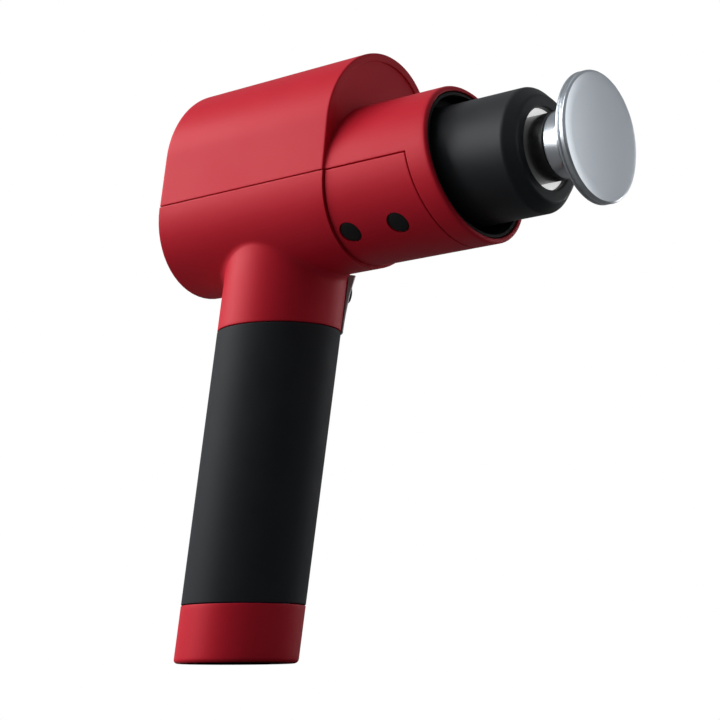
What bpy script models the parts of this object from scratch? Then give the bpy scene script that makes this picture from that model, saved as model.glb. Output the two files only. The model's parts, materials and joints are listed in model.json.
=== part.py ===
"""Percussion massage gun: a capsule-section housing on a raked round handle, with a short barrel,
a fixed nose sleeve and a pull-off disc head driven by a slider-crank.

World frame: metres, +Z up, +X towards the head, origin at the centre of the flat base of the
handle. The handle's axis and the barrel's axis cross at BARREL_HEIGHT above the base. Pieces of the
drive hang on the empty drive_line (its X is the barrel's axis), pieces of the handle on the empty
handle_line (its Z is the handle's axis).
"""
import math

import bmesh
import bpy
from mathutils import Matrix, Vector

# Clearances
FIT = 0.0003            # gap between pieces that touch
SLIDE = 0.0004          # gap round a piece that slides or turns
SEAM = 0.0004           # parting line between the shells
OVERCUT = 0.0010        # how far a cutter runs past what it cuts
BEYOND = 0.0100         # the same, past a whole wall
WIDE = 0.0500           # half the width of a cutter that is wider than the section

# Handle
RAKE = math.radians(9.8)
HANDLE_RADIUS = 0.0235
GRIP_WALL = 0.0012
CORE_WALL = 0.0017
CAP_TOP = 0.0215
CAP_FLOOR = 0.0030
CAP_ROUND = 0.0016
NECK_LENGTH = 0.0190
NECK_FILLET = 0.0035

# Housing, measured from the crossing of the two axes
BARREL_HEIGHT = 0.1745
HOUSING_RADIUS = 0.0305
HOUSING_WALL = 0.0022
CREST_RISE = 0.0190
REAR_X = -0.0437
CREST_X = 0.0394
CREST_RAKE = math.radians(7.2)
CREST_BORDER = 0.0030
CREST_RECESS = 0.0006
BARREL_STEP = 0.0010
BARREL_WALL = 0.0019
COVER_X = 0.0763
MOUTH_X = 0.0856
MOUTH_RAKE = math.radians(10.0)

# Rear cover and display
REAR_INSET = 0.0006
REAR_THICK = 0.0026
LENS_RADIUS = 0.0200
LENS_THICK = 0.0014
BOARD_THICK = 0.0016
DISPLAY_BOARD_SIZE = (0.034, 0.030)
DRIVE_BOARD_SIZE = (0.028, 0.034)
DRIVE_BOARD_RISE = 0.0105
DRIVE_BOARD_BEHIND = 0.0080

# Mouth seal and nose
SEAL_WALL = 0.0013
SEAL_WEB = 0.0020
SEAL_X = 0.0710
SEAL_INSET = 0.0005
MOUTH_GAP = 0.0070
NOSE_WALL = 0.0016
NOSE_BACK = 0.0708
NOSE_FRONT = 0.1164
NOSE_CHAMFER = (0.0036, 0.0040)
NOSE_CLEARANCE = 0.0025
NOSE_LIP = 0.0025

# Drive
STROKE = 0.0120
CRANK_X = 0.0170
ROD_LENGTH = 0.0535
ROD_THICK = 0.0064
ROD_WIDTH = 0.0080
ROD_RIM = 0.0028
ROD_SHANK_THICK = 0.0051
FRAME_WALL = 0.0032
CAN_GAP = 0.0022
FRAME_FRONT = 0.0960
DECK_BOTTOM = 0.0110
DECK_THICK = 0.0030
DECK_BACK = -0.0060
DECK_FRONT = 0.0440
DECK_HALF_WIDTH = 0.0190
BUSH_WALL = 0.0047
PISTON_BACK = 0.0620
PISTON_FRONT = 0.1040
PISTON_RING = (0.0009, 0.0016)
PISTON_RING_X = 0.0960
RING_PROUD = 0.0001
FORK_DEPTH = 0.0160
WRIST_RADIUS = 0.0030
WRIST_INSET = 0.0015
CRANK_PIN_RADIUS = 0.0025
BIG_END_BEARING = 0.0032
BUSH_BACK = 0.0840
BUSH_FUNNEL = 0.0066
CRANK_DISC_RADIUS = 0.0100
CRANK_DISC_THICK = 0.0050
CRANK_DISC_BOTTOM = 0.0050
HUB_RADIUS = 0.0042

# Motor
SHAFT_RADIUS = 0.0015
BEARING_RADIUS = 0.0040
BEARING_THICK = 0.0030
POST_WALL = 0.0015
POST_HEIGHT = 0.0200
FLANGE_RADIUS = 0.0130
FLANGE_THICK = 0.0015
STATOR_RADIUS = 0.0150
STATOR_THICK = 0.0100
STATOR_LIFT = 0.0045
SLOTS = 9
SLOT_WIDTH = 0.0026
SLOT_DEPTH = 0.0050
WINDING_THICK = 0.0025
MAGNET_THICK = 0.0019
CAN_WALL = 0.0012
AIR_GAP = 0.0004
CAN_SKIRT = 0.0170
CAN_LIFT = 0.0025

# Head
SOCKET_WALL = 0.0038
SPIGOT_LENGTH = 0.0195
STEM_STEP = 0.0001
STEM_END = 0.1220
PEG_RADIUS = 0.0060
PEG_LENGTH = 0.0080
DISC_REACH = 0.0112
DISC_BACK = 0.1346
DISC_FRONT = 0.1384
DISC_DOME = 0.0005
DISC_BEVEL = 0.0077
FLARE_RADIUS = 0.0080
FLARE_DROP = 0.0085
FLARE_END = math.pi * 0.56
DISC_EDGE = 0.0006
O_RING_RADIUS = 0.0009
O_RING_PLACES = (0.0900, 0.0980)

# Barrel cover fasteners: two a side
PLUG_RADIUS = 0.0043
PLUG_THICK = 0.0016
PLUG_ANGLE = math.radians(41.5)
PLUG_PLACES = (0.0432, 0.0650)
BOSS_WALL = 0.0010
BOSS_DEPTH = 0.0050
BOSS_FOOT_GAP = 0.0007
SCREW_TIP_GAP = 0.0006
SCREW_HEAD = (0.0030, 0.0016)
SCREW_SHANK = 0.0014

# Thumb panel and button
PANEL_START = math.radians(36.0)
PANEL_END = math.radians(94.0)
PANEL_LIFT = 0.0025
PANEL_OVERRUN = 0.0060
PANEL_THIN = 0.0006
PANEL_THICK = 0.0026
BUTTON_RADIUS = 0.0034
BUTTON_AZIMUTH = math.radians(58.0)
BUTTON_DROP = 0.0006
BUTTON_EDGE = 0.0004
BUTTON_THICK = 0.0018
BUTTON_TRAVEL = 0.0007

# Battery
PACK_CLEARANCE = 0.00025
PACK_HEADROOM = 0.0037
CELL_NIPPLE = (0.0028, 0.0008)
CELL_GAP = 0.0002
PACK_START = 0.0080
PLATE_THICK = 0.0010
BATTERY_BOARD_GAP = 0.0015
JACK_RADIUS = 0.0039
JACK_WALL = 0.0011
JACK_PIN = 0.0009
JACK_X = -0.0110
JACK_HEIGHT = 0.0072
JACK_INSET = 0.0008
JACK_PIN_INSET = 0.0010
JACK_LEDGE = 0.0004

# Facets round a circle
COARSE = 12
MEDIUM = 18
FINE = 28
SHELL = 40

# Values that follow from the ones above
CROSSING = Vector((BARREL_HEIGHT * math.tan(RAKE), 0.0, BARREL_HEIGHT))
HOUSING_BOTTOM = BARREL_HEIGHT - HOUSING_RADIUS
GRIP_TOP = HOUSING_BOTTOM - NECK_LENGTH
PANEL_BOTTOM = GRIP_TOP + PANEL_LIFT
PANEL_TOP = HOUSING_BOTTOM + PANEL_OVERRUN
BUTTON_ALONG = HOUSING_BOTTOM / math.cos(RAKE) - BUTTON_DROP
CRANK_RADIUS = STROKE / 2
WRIST_X = CRANK_X + math.sqrt(ROD_LENGTH ** 2 - CRANK_RADIUS ** 2)
ROD_LEAN = math.asin(CRANK_RADIUS / ROD_LENGTH)
CORE_RADIUS = HANDLE_RADIUS - GRIP_WALL - FIT
CORE_BORE = CORE_RADIUS - CORE_WALL
HOUSING_BORE = HOUSING_RADIUS - HOUSING_WALL
DRIVE_BOARD_DROP = HOUSING_BORE - DRIVE_BOARD_RISE
BARREL_RADIUS = HOUSING_RADIUS - BARREL_STEP
BARREL_BORE = BARREL_RADIUS - BARREL_WALL
BOSS_SEAT = BARREL_RADIUS - BOSS_DEPTH
SEAL_RADIUS = BARREL_BORE - FIT
NOSE_RADIUS = BARREL_RADIUS - MOUTH_GAP
NOSE_INSIDE = NOSE_RADIUS - NOSE_WALL
FRAME_RADIUS = NOSE_INSIDE - FIT
FRAME_BORE = FRAME_RADIUS - FRAME_WALL
PISTON_GUIDE = FRAME_BORE - FIT - BUSH_WALL
PISTON_RADIUS = PISTON_GUIDE - FIT
NOSE_BORE = PISTON_RADIUS + NOSE_CLEARANCE
SOCKET_RADIUS = PISTON_RADIUS - SOCKET_WALL
SPIGOT_RADIUS = SOCKET_RADIUS - FIT
STEM_RADIUS = PISTON_RADIUS - STEM_STEP
DISC_RADIUS = STEM_RADIUS + DISC_REACH
DISC_FLAT = DISC_RADIUS - DISC_BEVEL
DECK_TOP = DECK_BOTTOM + DECK_THICK
POST_BORE = BEARING_RADIUS + FIT
POST_RADIUS = POST_BORE + POST_WALL
CAN_BORE = STATOR_RADIUS + AIR_GAP + MAGNET_THICK + FIT
CAN_RADIUS = CAN_BORE + CAN_WALL
FRAME_BACK = CRANK_X + CAN_RADIUS + CAN_GAP
BIG_END_BORE = CRANK_PIN_RADIUS + FIT + BIG_END_BEARING + FIT
SMALL_END_BORE = WRIST_RADIUS + FIT
CELL_RADIUS = ((CORE_BORE - PACK_CLEARANCE - CELL_GAP * 2 / math.sqrt(3))
               / (1 + 2 / math.sqrt(3)))
PACK_ROOM = ((BARREL_HEIGHT - HOUSING_BORE) / math.cos(RAKE) - PACK_HEADROOM - PACK_START
             - PLATE_THICK - FIT - BOARD_THICK)
PACK_PITCH = PACK_ROOM / 2
CELL_LENGTH = PACK_PITCH - CELL_NIPPLE[1] - PLATE_THICK - 2 * FIT
REAR_SLOPE = math.tan(RAKE)
CREST_SLOPE = math.tan(CREST_RAKE)
MOUTH_SLOPE = -math.tan(MOUTH_RAKE)
LEVEL_SLOPE = math.tan(RAKE)

RED = (0.50, 0.030, 0.045, 1.0)
DARK = (0.018, 0.020, 0.022, 1.0)
BLACK = (0.006, 0.006, 0.007, 1.0)
GREY = (0.32, 0.33, 0.34, 1.0)
STEEL = (0.55, 0.57, 0.60, 1.0)
ALUMINIUM = (0.62, 0.63, 0.65, 1.0)
WHITE = (0.80, 0.80, 0.78, 1.0)
COPPER = (0.72, 0.28, 0.12, 1.0)
GREEN = (0.02, 0.16, 0.07, 1.0)
BLUE = (0.03, 0.12, 0.42, 1.0)


def clear_scene():
    for obj in list(bpy.data.objects):
        bpy.data.objects.remove(obj, do_unlink=True)


def surface(name, colour, roughness, metallic=0.0):
    """A Principled material of its own for one piece."""
    mat = bpy.data.materials.new(name)
    mat.use_nodes = True
    shader = mat.node_tree.nodes["Principled BSDF"]
    shader.inputs["Base Color"].default_value = colour
    shader.inputs["Roughness"].default_value = roughness
    shader.inputs["Metallic"].default_value = metallic
    mat.diffuse_color = colour
    return mat


def empty(name, location, rotation=(0.0, 0.0, 0.0), parent=None):
    obj = bpy.data.objects.new(name, None)
    obj.location = location
    obj.rotation_euler = rotation
    obj.parent = parent
    obj.empty_display_size = 0.01
    bpy.context.scene.collection.objects.link(obj)
    return obj


def place(name, bm, parent, location=(0.0, 0.0, 0.0), rotation=(0.0, 0.0, 0.0)):
    """Close a bmesh into an object whose faces point out."""
    bmesh.ops.remove_doubles(bm, verts=bm.verts, dist=1e-6)
    bmesh.ops.recalc_face_normals(bm, faces=bm.faces)
    mesh = bpy.data.meshes.new(name)
    bm.to_mesh(mesh)
    bm.free()
    obj = bpy.data.objects.new(name, mesh)
    obj.parent = parent
    obj.location = location
    obj.rotation_euler = rotation
    bpy.context.scene.collection.objects.link(obj)
    return obj


def paint(obj, colour, roughness, metallic=0.0):
    """Give a finished piece its material and smooth its round faces."""
    obj.data.materials.clear()
    obj.data.materials.append(surface(obj.name, colour, roughness, metallic))
    obj.data.shade_smooth()
    obj.data.set_sharp_from_angle(angle=math.radians(32))
    return obj


def merge(obj, tools, operation):
    """Union or cut solids into an object and drop the tools."""
    for tool in tools:
        step = obj.modifiers.new(tool.name, "BOOLEAN")
        step.operation = operation
        step.solver = "EXACT"
        step.object = tool
    bpy.context.view_layer.update()
    graph = bpy.context.evaluated_depsgraph_get()
    mesh = bpy.data.meshes.new_from_object(obj.evaluated_get(graph))
    obj.modifiers.clear()
    obj.data = mesh
    for tool in tools:
        bpy.data.objects.remove(tool, do_unlink=True)
    return obj


def add(obj, *tools):
    return merge(obj, tools, "UNION")


def cut(obj, *tools):
    return merge(obj, tools, "DIFFERENCE")


def arc(centre, radius, start, end, steps):
    """Points (u, v) on an arc, both ends included."""
    angles = [start + (end - start) * i / steps for i in range(steps + 1)]
    return [(centre[0] + radius * math.cos(a), centre[1] + radius * math.sin(a)) for a in angles]


def circle(radius, facets=SHELL, centre=(0.0, 0.0)):
    return arc(centre, radius, 0.0, math.tau * (facets - 1) / facets, facets - 1)


def capsule(radius):
    """The housing's section: two half circles CREST_RISE apart and straight sides."""
    top = arc((0.0, CREST_RISE), radius, 0.0, math.pi, SHELL // 2)
    bottom = arc((0.0, 0.0), radius, math.pi, math.tau, SHELL // 2)
    return top + bottom


def rectangle(u_low, u_high, v_low, v_high):
    return [(u_low, v_low), (u_high, v_low), (u_high, v_high), (u_low, v_high)]


def prism(name, outline, start, end, parent, axis="X", location=(0.0, 0.0, 0.0)):
    """Extrude an outline between two planes, each given as (offset, slope).

    Along X the outline is (y, z) and the slope follows z; along Z it is (x, y) and follows x.
    """
    def point(uv, plane):
        offset, slope = plane
        if axis == "X":
            return Vector((offset + slope * uv[1], uv[0], uv[1]))
        return Vector((uv[0], uv[1], offset + slope * uv[0]))

    bm = bmesh.new()
    base = bm.faces.new([bm.verts.new(point(uv, start)) for uv in outline])
    order = list(base.verts)
    grown = bmesh.ops.extrude_face_region(bm, geom=[base], use_keep_orig=True)
    moved = [item for item in grown["geom"] if isinstance(item, bmesh.types.BMVert)]
    starts = [point(uv, start) for uv in outline]
    for vert in moved:
        nearest = min(range(len(order)), key=lambda i: (starts[i] - vert.co).length_squared)
        vert.co = point(outline[nearest], end)
    return place(name, bm, parent, location)


def turned(name, profile, parent, axis="X", facets=MEDIUM, location=(0.0, 0.0, 0.0)):
    """Spin (radius, height) points about the axis; a profile that starts and ends on it stays open."""
    bm = bmesh.new()
    verts = [bm.verts.new((radius, 0.0, height)) for radius, height in profile]
    edges = [bm.edges.new(pair) for pair in zip(verts, verts[1:])]
    if profile[0][0] > 0.0:
        edges.append(bm.edges.new((verts[-1], verts[0])))
    bmesh.ops.spin(bm, geom=verts + edges, cent=(0.0, 0.0, 0.0), axis=(0.0, 0.0, 1.0),
                   angle=math.tau, steps=facets, use_merge=True)
    if axis == "X":
        bmesh.ops.transform(bm, matrix=Matrix.Rotation(math.pi / 2, 4, "Y"), verts=bm.verts)
    return place(name, bm, parent, location)


def rod_profile(radius, low, high):
    return [(0.0, low), (radius, low), (radius, high), (0.0, high)]


def tube_profile(inner, outer, low, high):
    return [(inner, low), (outer, low), (outer, high), (inner, high)]


def solid_round(name, radius, low, high, parent, axis="X", facets=MEDIUM, location=(0, 0, 0)):
    return turned(name, rod_profile(radius, low, high), parent, axis, facets, location)


def tube(name, inner, outer, low, high, parent, axis="X", facets=MEDIUM, location=(0, 0, 0)):
    return turned(name, tube_profile(inner, outer, low, high), parent, axis, facets, location)


def block(name, x, y, z, parent):
    return prism(name, rectangle(x[0], x[1], y[0], y[1]), (z[0], 0.0), (z[1], 0.0), parent, "Z")


def neck_fillet(name, grow, root):
    """The concave ring where the handle meets the housing, as a closed skirt.

    A ball of the fillet's radius rolls outside both cylinders; grow moves the surface outwards.
    """
    ball = NECK_FILLET - grow
    handle = HANDLE_RADIUS + grow
    housing = HOUSING_RADIUS + grow
    steps = 3
    sink = 0.0001
    root_depth = 0.0012
    across = Vector((math.cos(RAKE), 0.0, -math.sin(RAKE)))
    along = Vector((math.sin(RAKE), 0.0, math.cos(RAKE)))
    bm = bmesh.new()
    sections = []
    for i in range(FINE):
        azimuth = math.tau * i / FINE
        outward = across * math.cos(azimuth) + Vector((0.0, math.sin(azimuth), 0.0))
        reach = handle + ball
        y = reach * math.sin(azimuth)
        z = -math.sqrt((housing + ball) ** 2 - y ** 2)
        climb = (z + reach * math.cos(azimuth) * math.sin(RAKE)) / math.cos(RAKE)
        centre = along * climb + outward * reach
        to_axis = -Vector((0.0, centre.y, centre.z)).normalized()
        low = -outward
        spread = low.angle(to_axis)
        ring = []
        for k in range(steps + 1):
            share = k / steps
            mix = (low * math.sin((1 - share) * spread) + to_axis * math.sin(share * spread))
            ring.append(centre + mix / math.sin(spread) * ball)
        ring[0] = ring[0] - outward * sink
        ring[-1] = ring[-1] + to_axis * sink
        root_point = centre + (low + to_axis).normalized() * ball / math.cos(spread / 2)
        ring.append(root_point + (low + to_axis).normalized() * root_depth)
        sections.append([bm.verts.new(CROSSING + p) for p in ring])
    for here, there in zip(sections, sections[1:] + sections[:1]):
        for a, b in zip(range(len(here)), list(range(1, len(here))) + [0]):
            bm.faces.new((here[a], here[b], there[b], there[a]))
    return place(name, bm, root)


def upper_shell(drive):
    """Capsule-section top half, crest wall, barrel top and the full mouth ring."""
    body = prism("upper_shell", capsule(HOUSING_RADIUS), (REAR_X, REAR_SLOPE),
                 (CREST_X, CREST_SLOPE), drive)
    barrel = prism("barrel", circle(BARREL_RADIUS), (0.0, 0.0), (MOUTH_X, MOUTH_SLOPE), drive)
    add(body, barrel)
    panel = prism("panel", capsule(HOUSING_RADIUS - CREST_BORDER),
                  (CREST_X - CREST_RECESS, CREST_SLOPE), (CREST_X + BEYOND, CREST_SLOPE), drive)
    keep = prism("keep", circle(BARREL_RADIUS), (0.0, 0.0), (MOUTH_X, MOUTH_SLOPE), drive)
    cut(panel, keep)
    hollow = prism("hollow", capsule(HOUSING_BORE), (REAR_X - BEYOND, REAR_SLOPE),
                   (CREST_X - HOUSING_WALL, CREST_SLOPE), drive)
    bore = prism("bore", circle(BARREL_BORE), (BEYOND, 0.0), (MOUTH_X + BEYOND, MOUTH_SLOPE), drive)
    below = prism("below", rectangle(-WIDE, WIDE, -WIDE, SEAM / 2), (REAR_X - BEYOND, REAR_SLOPE),
                  (COVER_X, MOUTH_SLOPE), drive)
    return cut(body, bore, hollow, below, panel)


def lower_shell(drive, handle, root):
    """Bottom half of the housing, the neck with its fillet and the core tube of the handle."""
    body = prism("lower_shell", circle(HOUSING_RADIUS), (REAR_X, REAR_SLOPE),
                 (CREST_X, CREST_SLOPE), drive)
    above = prism("above", rectangle(-WIDE, WIDE, -SEAM / 2, WIDE), (REAR_X - BEYOND, REAR_SLOPE),
                  (CREST_X + BEYOND, CREST_SLOPE), drive)
    cut(body, above)
    top = BARREL_HEIGHT - HOUSING_RADIUS / 3
    neck = prism("neck", circle(HANDLE_RADIUS), level(GRIP_TOP), level(top), handle, "Z")
    core = prism("core", circle(CORE_RADIUS), level(CAP_TOP + 2 * FIT), level(top), handle, "Z")
    add(body, neck_fillet("fillet", 0.0, root), neck, core)
    hollow = prism("hollow", circle(HOUSING_BORE), (REAR_X - BEYOND, REAR_SLOPE),
                   (CREST_X + BEYOND, CREST_SLOPE), drive)
    bore = prism("bore", circle(CORE_BORE), level(0.0), level(BARREL_HEIGHT), handle, "Z")
    return cut(body, hollow, bore)


def level(height):
    """A level plane at this height, as a prism's end in the handle's frame."""
    return (height / math.cos(RAKE), LEVEL_SLOPE)


def fastener_frame(x, side, drive):
    """An empty on the barrel's axis whose Z points out through a cover screw."""
    return empty("screw_line", (x, 0.0, 0.0), (math.pi + side * PLUG_ANGLE, 0.0, 0.0), drive)


def fastener_places():
    return [(x, side) for x in PLUG_PLACES for side in (-1, 1)]


def barrel_cover(drive):
    """Lower half of the barrel with a counterbored boss for each screw."""
    start = (CREST_X + FIT, CREST_SLOPE)
    end = (COVER_X - SEAM, MOUTH_SLOPE)
    body = prism("barrel_cover", circle(BARREL_RADIUS), start, end, drive)
    above = prism("above", rectangle(-WIDE, WIDE, -SEAM / 2, WIDE), (0.0, 0.0),
                  (MOUTH_X + BEYOND, MOUTH_SLOPE), drive)
    inside = prism("inside", circle(BARREL_BORE), (0.0, 0.0), (MOUTH_X + BEYOND, MOUTH_SLOPE),
                   drive)
    cut(body, above, inside)
    lines = [fastener_frame(x, side, drive) for x, side in fastener_places()]
    boss = PLUG_RADIUS + BOSS_WALL
    foot = FRAME_RADIUS + BOSS_FOOT_GAP
    add(body, *[solid_round("boss", boss, foot, BARREL_BORE + BARREL_WALL / 3, line, "Z", COARSE)
                for line in lines])
    cut(body, *[solid_round("seat", PLUG_RADIUS, BOSS_SEAT, BARREL_RADIUS + BEYOND, line, "Z")
                for line in lines])
    cut(body, *[solid_round("way", SCREW_SHANK + FIT, FRAME_RADIUS - OVERCUT, BOSS_SEAT + OVERCUT,
                            line, "Z", COARSE) for line in lines])
    return body, lines


def fasteners(lines):
    """A rubber plug over a pan-head screw in each boss."""
    plug_top = math.sqrt(BARREL_RADIUS ** 2 - PLUG_RADIUS ** 2)
    head_radius, head_thick = SCREW_HEAD
    for number, line in enumerate(lines, start=1):
        plug = solid_round(f"screw_plug_{number}", PLUG_RADIUS - FIT / 2, plug_top - PLUG_THICK,
                           plug_top, line, "Z", MEDIUM)
        paint(plug, BLACK, 0.6)
        low = FRAME_BORE + SCREW_TIP_GAP
        seat = BOSS_SEAT + FIT
        outline = [(0.0, low), (SCREW_SHANK, low), (SCREW_SHANK, seat), (head_radius, seat),
                   (head_radius, seat + head_thick), (0.0, seat + head_thick)]
        paint(turned(f"cover_screw_{number}", outline, line, "Z", COARSE), STEEL, 0.35, 1.0)


def rear_pieces(drive):
    """Rear cover with the round display lens let into it and the display board behind."""
    outer = REAR_X + REAR_INSET
    centre = (0.0, CREST_RISE / 2)
    cover = prism("rear_cover", capsule(HOUSING_BORE - FIT), (outer, REAR_SLOPE),
                  (outer + REAR_THICK, REAR_SLOPE), drive)
    pocket = prism("pocket", circle(LENS_RADIUS + FIT, FINE, centre), (outer - BEYOND, REAR_SLOPE),
                   (outer + LENS_THICK + FIT, REAR_SLOPE), drive)
    paint(cut(cover, pocket), DARK, 0.45)
    lens = prism("display_lens", circle(LENS_RADIUS, FINE, centre), (outer, REAR_SLOPE),
                 (outer + LENS_THICK, REAR_SLOPE), drive)
    paint(lens, BLACK, 0.08)
    half_width = DISPLAY_BOARD_SIZE[0] / 2
    half_height = DISPLAY_BOARD_SIZE[1] / 2
    behind = outer + REAR_THICK + FIT
    outline = rectangle(-half_width, half_width, centre[1] - half_height, centre[1] + half_height)
    board = prism("display_board", outline, (behind, REAR_SLOPE),
                  (behind + BOARD_THICK, REAR_SLOPE), drive)
    paint(board, GREEN, 0.5)


def drive_board(drive):
    length, width = DRIVE_BOARD_SIZE
    start = REAR_X + DRIVE_BOARD_BEHIND
    obj = block("drive_board", (start, start + length), (-width / 2, width / 2),
                (-DRIVE_BOARD_DROP - BOARD_THICK, -DRIVE_BOARD_DROP), drive)
    paint(obj, GREEN, 0.5)


def mouth_seal(drive):
    """Black ring just inside the mouth, with a web back to the nose."""
    seal = prism("mouth_seal", circle(SEAL_RADIUS), (SEAL_X, 0.0),
                 (MOUTH_X - SEAL_INSET, MOUTH_SLOPE), drive)
    bowl = prism("bowl", circle(SEAL_RADIUS - SEAL_WALL), (SEAL_X + SEAL_WEB, 0.0),
                 (MOUTH_X + BEYOND, MOUTH_SLOPE), drive)
    hole = prism("hole", circle(NOSE_RADIUS + FIT), (SEAL_X - BEYOND, 0.0), (MOUTH_X, 0.0), drive)
    paint(cut(seal, bowl, hole), BLACK, 0.7)


def nose_sleeve(drive):
    radial, axial = NOSE_CHAMFER
    inner_face = NOSE_FRONT - NOSE_LIP
    outline = [(NOSE_INSIDE, NOSE_BACK), (NOSE_RADIUS, NOSE_BACK),
               (NOSE_RADIUS, NOSE_FRONT - axial), (NOSE_RADIUS - radial, NOSE_FRONT),
               (NOSE_BORE, NOSE_FRONT), (NOSE_BORE, inner_face), (NOSE_INSIDE, inner_face)]
    paint(turned("nose_sleeve", outline, drive, "X", FINE), DARK, 0.45)


def guide_bush(drive):
    """White bearing bush: a body in the frame, a collar in the nose and a funnel mouth."""
    front = NOSE_FRONT - NOSE_LIP - FIT
    collar = FRAME_FRONT + FIT
    outline = [(PISTON_GUIDE, BUSH_BACK), (FRAME_BORE - FIT, BUSH_BACK), (FRAME_BORE - FIT, collar),
               (FRAME_RADIUS, collar), (FRAME_RADIUS, front), (NOSE_BORE, front),
               (PISTON_GUIDE, front - BUSH_FUNNEL)]
    paint(turned("guide_bush", outline, drive, "X", FINE), WHITE, 0.3)


def drive_frame(drive, lines):
    """Cast frame: the guide tube and the motor deck in one piece."""
    frame = tube("drive_frame", FRAME_BORE, FRAME_RADIUS, FRAME_BACK, FRAME_FRONT, drive, "X", FINE)
    deck = block("deck", (DECK_BACK, DECK_FRONT), (-DECK_HALF_WIDTH, DECK_HALF_WIDTH),
                 (DECK_BOTTOM, DECK_TOP), drive)
    inside = solid_round("inside", FRAME_RADIUS - FRAME_WALL / 2, DECK_BACK - OVERCUT,
                         DECK_FRONT + OVERCUT, drive, "X", FINE)
    slab = block("slab", (FRAME_BACK, DECK_FRONT + 2 * OVERCUT), (-WIDE, WIDE), (-WIDE, WIDE), drive)
    add(frame, fit_to_tube(deck, inside, slab))
    shaft_way = solid_round("shaft_way", POST_BORE, DECK_BOTTOM - OVERCUT, DECK_TOP + OVERCUT, drive,
                            "Z", MEDIUM, (CRANK_X, 0.0, 0.0))
    threads = [solid_round("thread", SCREW_SHANK + FIT, FRAME_BORE - 2 * OVERCUT, FRAME_RADIUS + OVERCUT,
                           line, "Z", COARSE) for line in lines]
    paint(cut(frame, shaft_way, *threads), ALUMINIUM, 0.45, 1.0)


def fit_to_tube(deck, inside, slab):
    """Trim the deck's corners to the tube's wall where the two overlap."""
    cut(slab, inside)
    return cut(deck, slab)


def motor(drive, rotor):
    """Outrunner on the deck, its axis across the barrel's."""
    base = DECK_TOP + FIT
    at = (CRANK_X, 0.0, 0.0)
    post_top = base + POST_HEIGHT
    post = turned("motor_post", [(POST_BORE, base), (FLANGE_RADIUS, base),
                                 (FLANGE_RADIUS, base + FLANGE_THICK),
                                 (POST_RADIUS, base + FLANGE_THICK), (POST_RADIUS, post_top),
                                 (POST_BORE, post_top)], drive, "Z", MEDIUM, at)
    paint(post, ALUMINIUM, 0.4, 1.0)
    for name, low in (("motor_bearing_lower", base), ("motor_bearing_upper",
                                                      post_top - BEARING_THICK)):
        ring = tube(name, SHAFT_RADIUS + FIT, BEARING_RADIUS, low, low + BEARING_THICK, drive, "Z",
                    MEDIUM, at)
        paint(ring, STEEL, 0.25, 1.0)
    low = base + STATOR_LIFT
    high = low + STATOR_THICK
    core = tube("stator_core", POST_RADIUS + FIT, STATOR_RADIUS, low, high, drive, "Z",
                SLOTS * 4, at)
    slots = []
    for i in range(SLOTS):
        turn = empty("slot_line", at, (0.0, 0.0, math.tau * i / SLOTS), drive)
        slots.append(block("slot", (STATOR_RADIUS - SLOT_DEPTH, STATOR_RADIUS + OVERCUT),
                           (-SLOT_WIDTH / 2, SLOT_WIDTH / 2), (low - OVERCUT, high + OVERCUT), turn))
    cut(core, *slots)
    paint(core, STEEL, 0.5, 1.0)
    for name, start in (("winding_lower", low - FIT - WINDING_THICK), ("winding_upper", high + FIT)):
        ring = tube(name, POST_RADIUS + FIT, STATOR_RADIUS - SLIDE, start, start + WINDING_THICK,
                    drive, "Z", MEDIUM, at)
        paint(ring, COPPER, 0.35, 1.0)
    rotor_pieces(rotor, base, post_top)


def rotor_pieces(rotor, base, post_top):
    """Everything that turns with the motor's shaft."""
    skirt = base + CAN_LIFT
    ceiling = post_top + SLIDE
    top = ceiling + CAN_WALL
    bore = SHAFT_RADIUS + FIT
    can = turned("rotor_can", [(bore, ceiling), (CAN_BORE, ceiling), (CAN_BORE, skirt),
                               (CAN_RADIUS, skirt), (CAN_RADIUS, top), (bore, top)],
                 rotor, "Z", FINE)
    paint(can, DARK, 0.35, 1.0)
    magnets = tube("magnet_ring", CAN_BORE - FIT - MAGNET_THICK, CAN_BORE - FIT, skirt + FIT,
                   skirt + CAN_SKIRT - SLIDE, rotor, "Z", FINE)
    paint(magnets, STEEL, 0.5, 1.0)
    shaft = solid_round("motor_shaft", SHAFT_RADIUS, CRANK_DISC_BOTTOM + FIT, top + FIT, rotor, "Z",
                        COARSE)
    paint(shaft, STEEL, 0.2, 1.0)
    crank_top = CRANK_DISC_BOTTOM + CRANK_DISC_THICK
    crank = solid_round("crank_disc", CRANK_DISC_RADIUS, CRANK_DISC_BOTTOM, crank_top, rotor, "Z",
                        FINE)
    relief = block("relief", (-CRANK_DISC_RADIUS, CRANK_DISC_RADIUS), (HUB_RADIUS, WIDE),
                   (CRANK_DISC_BOTTOM + CRANK_DISC_THICK / 2, crank_top + OVERCUT), rotor)
    way = solid_round("way", bore, CRANK_DISC_BOTTOM - OVERCUT, crank_top + OVERCUT, rotor, "Z", COARSE)
    paint(cut(crank, relief, way), STEEL, 0.35, 1.0)


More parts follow.
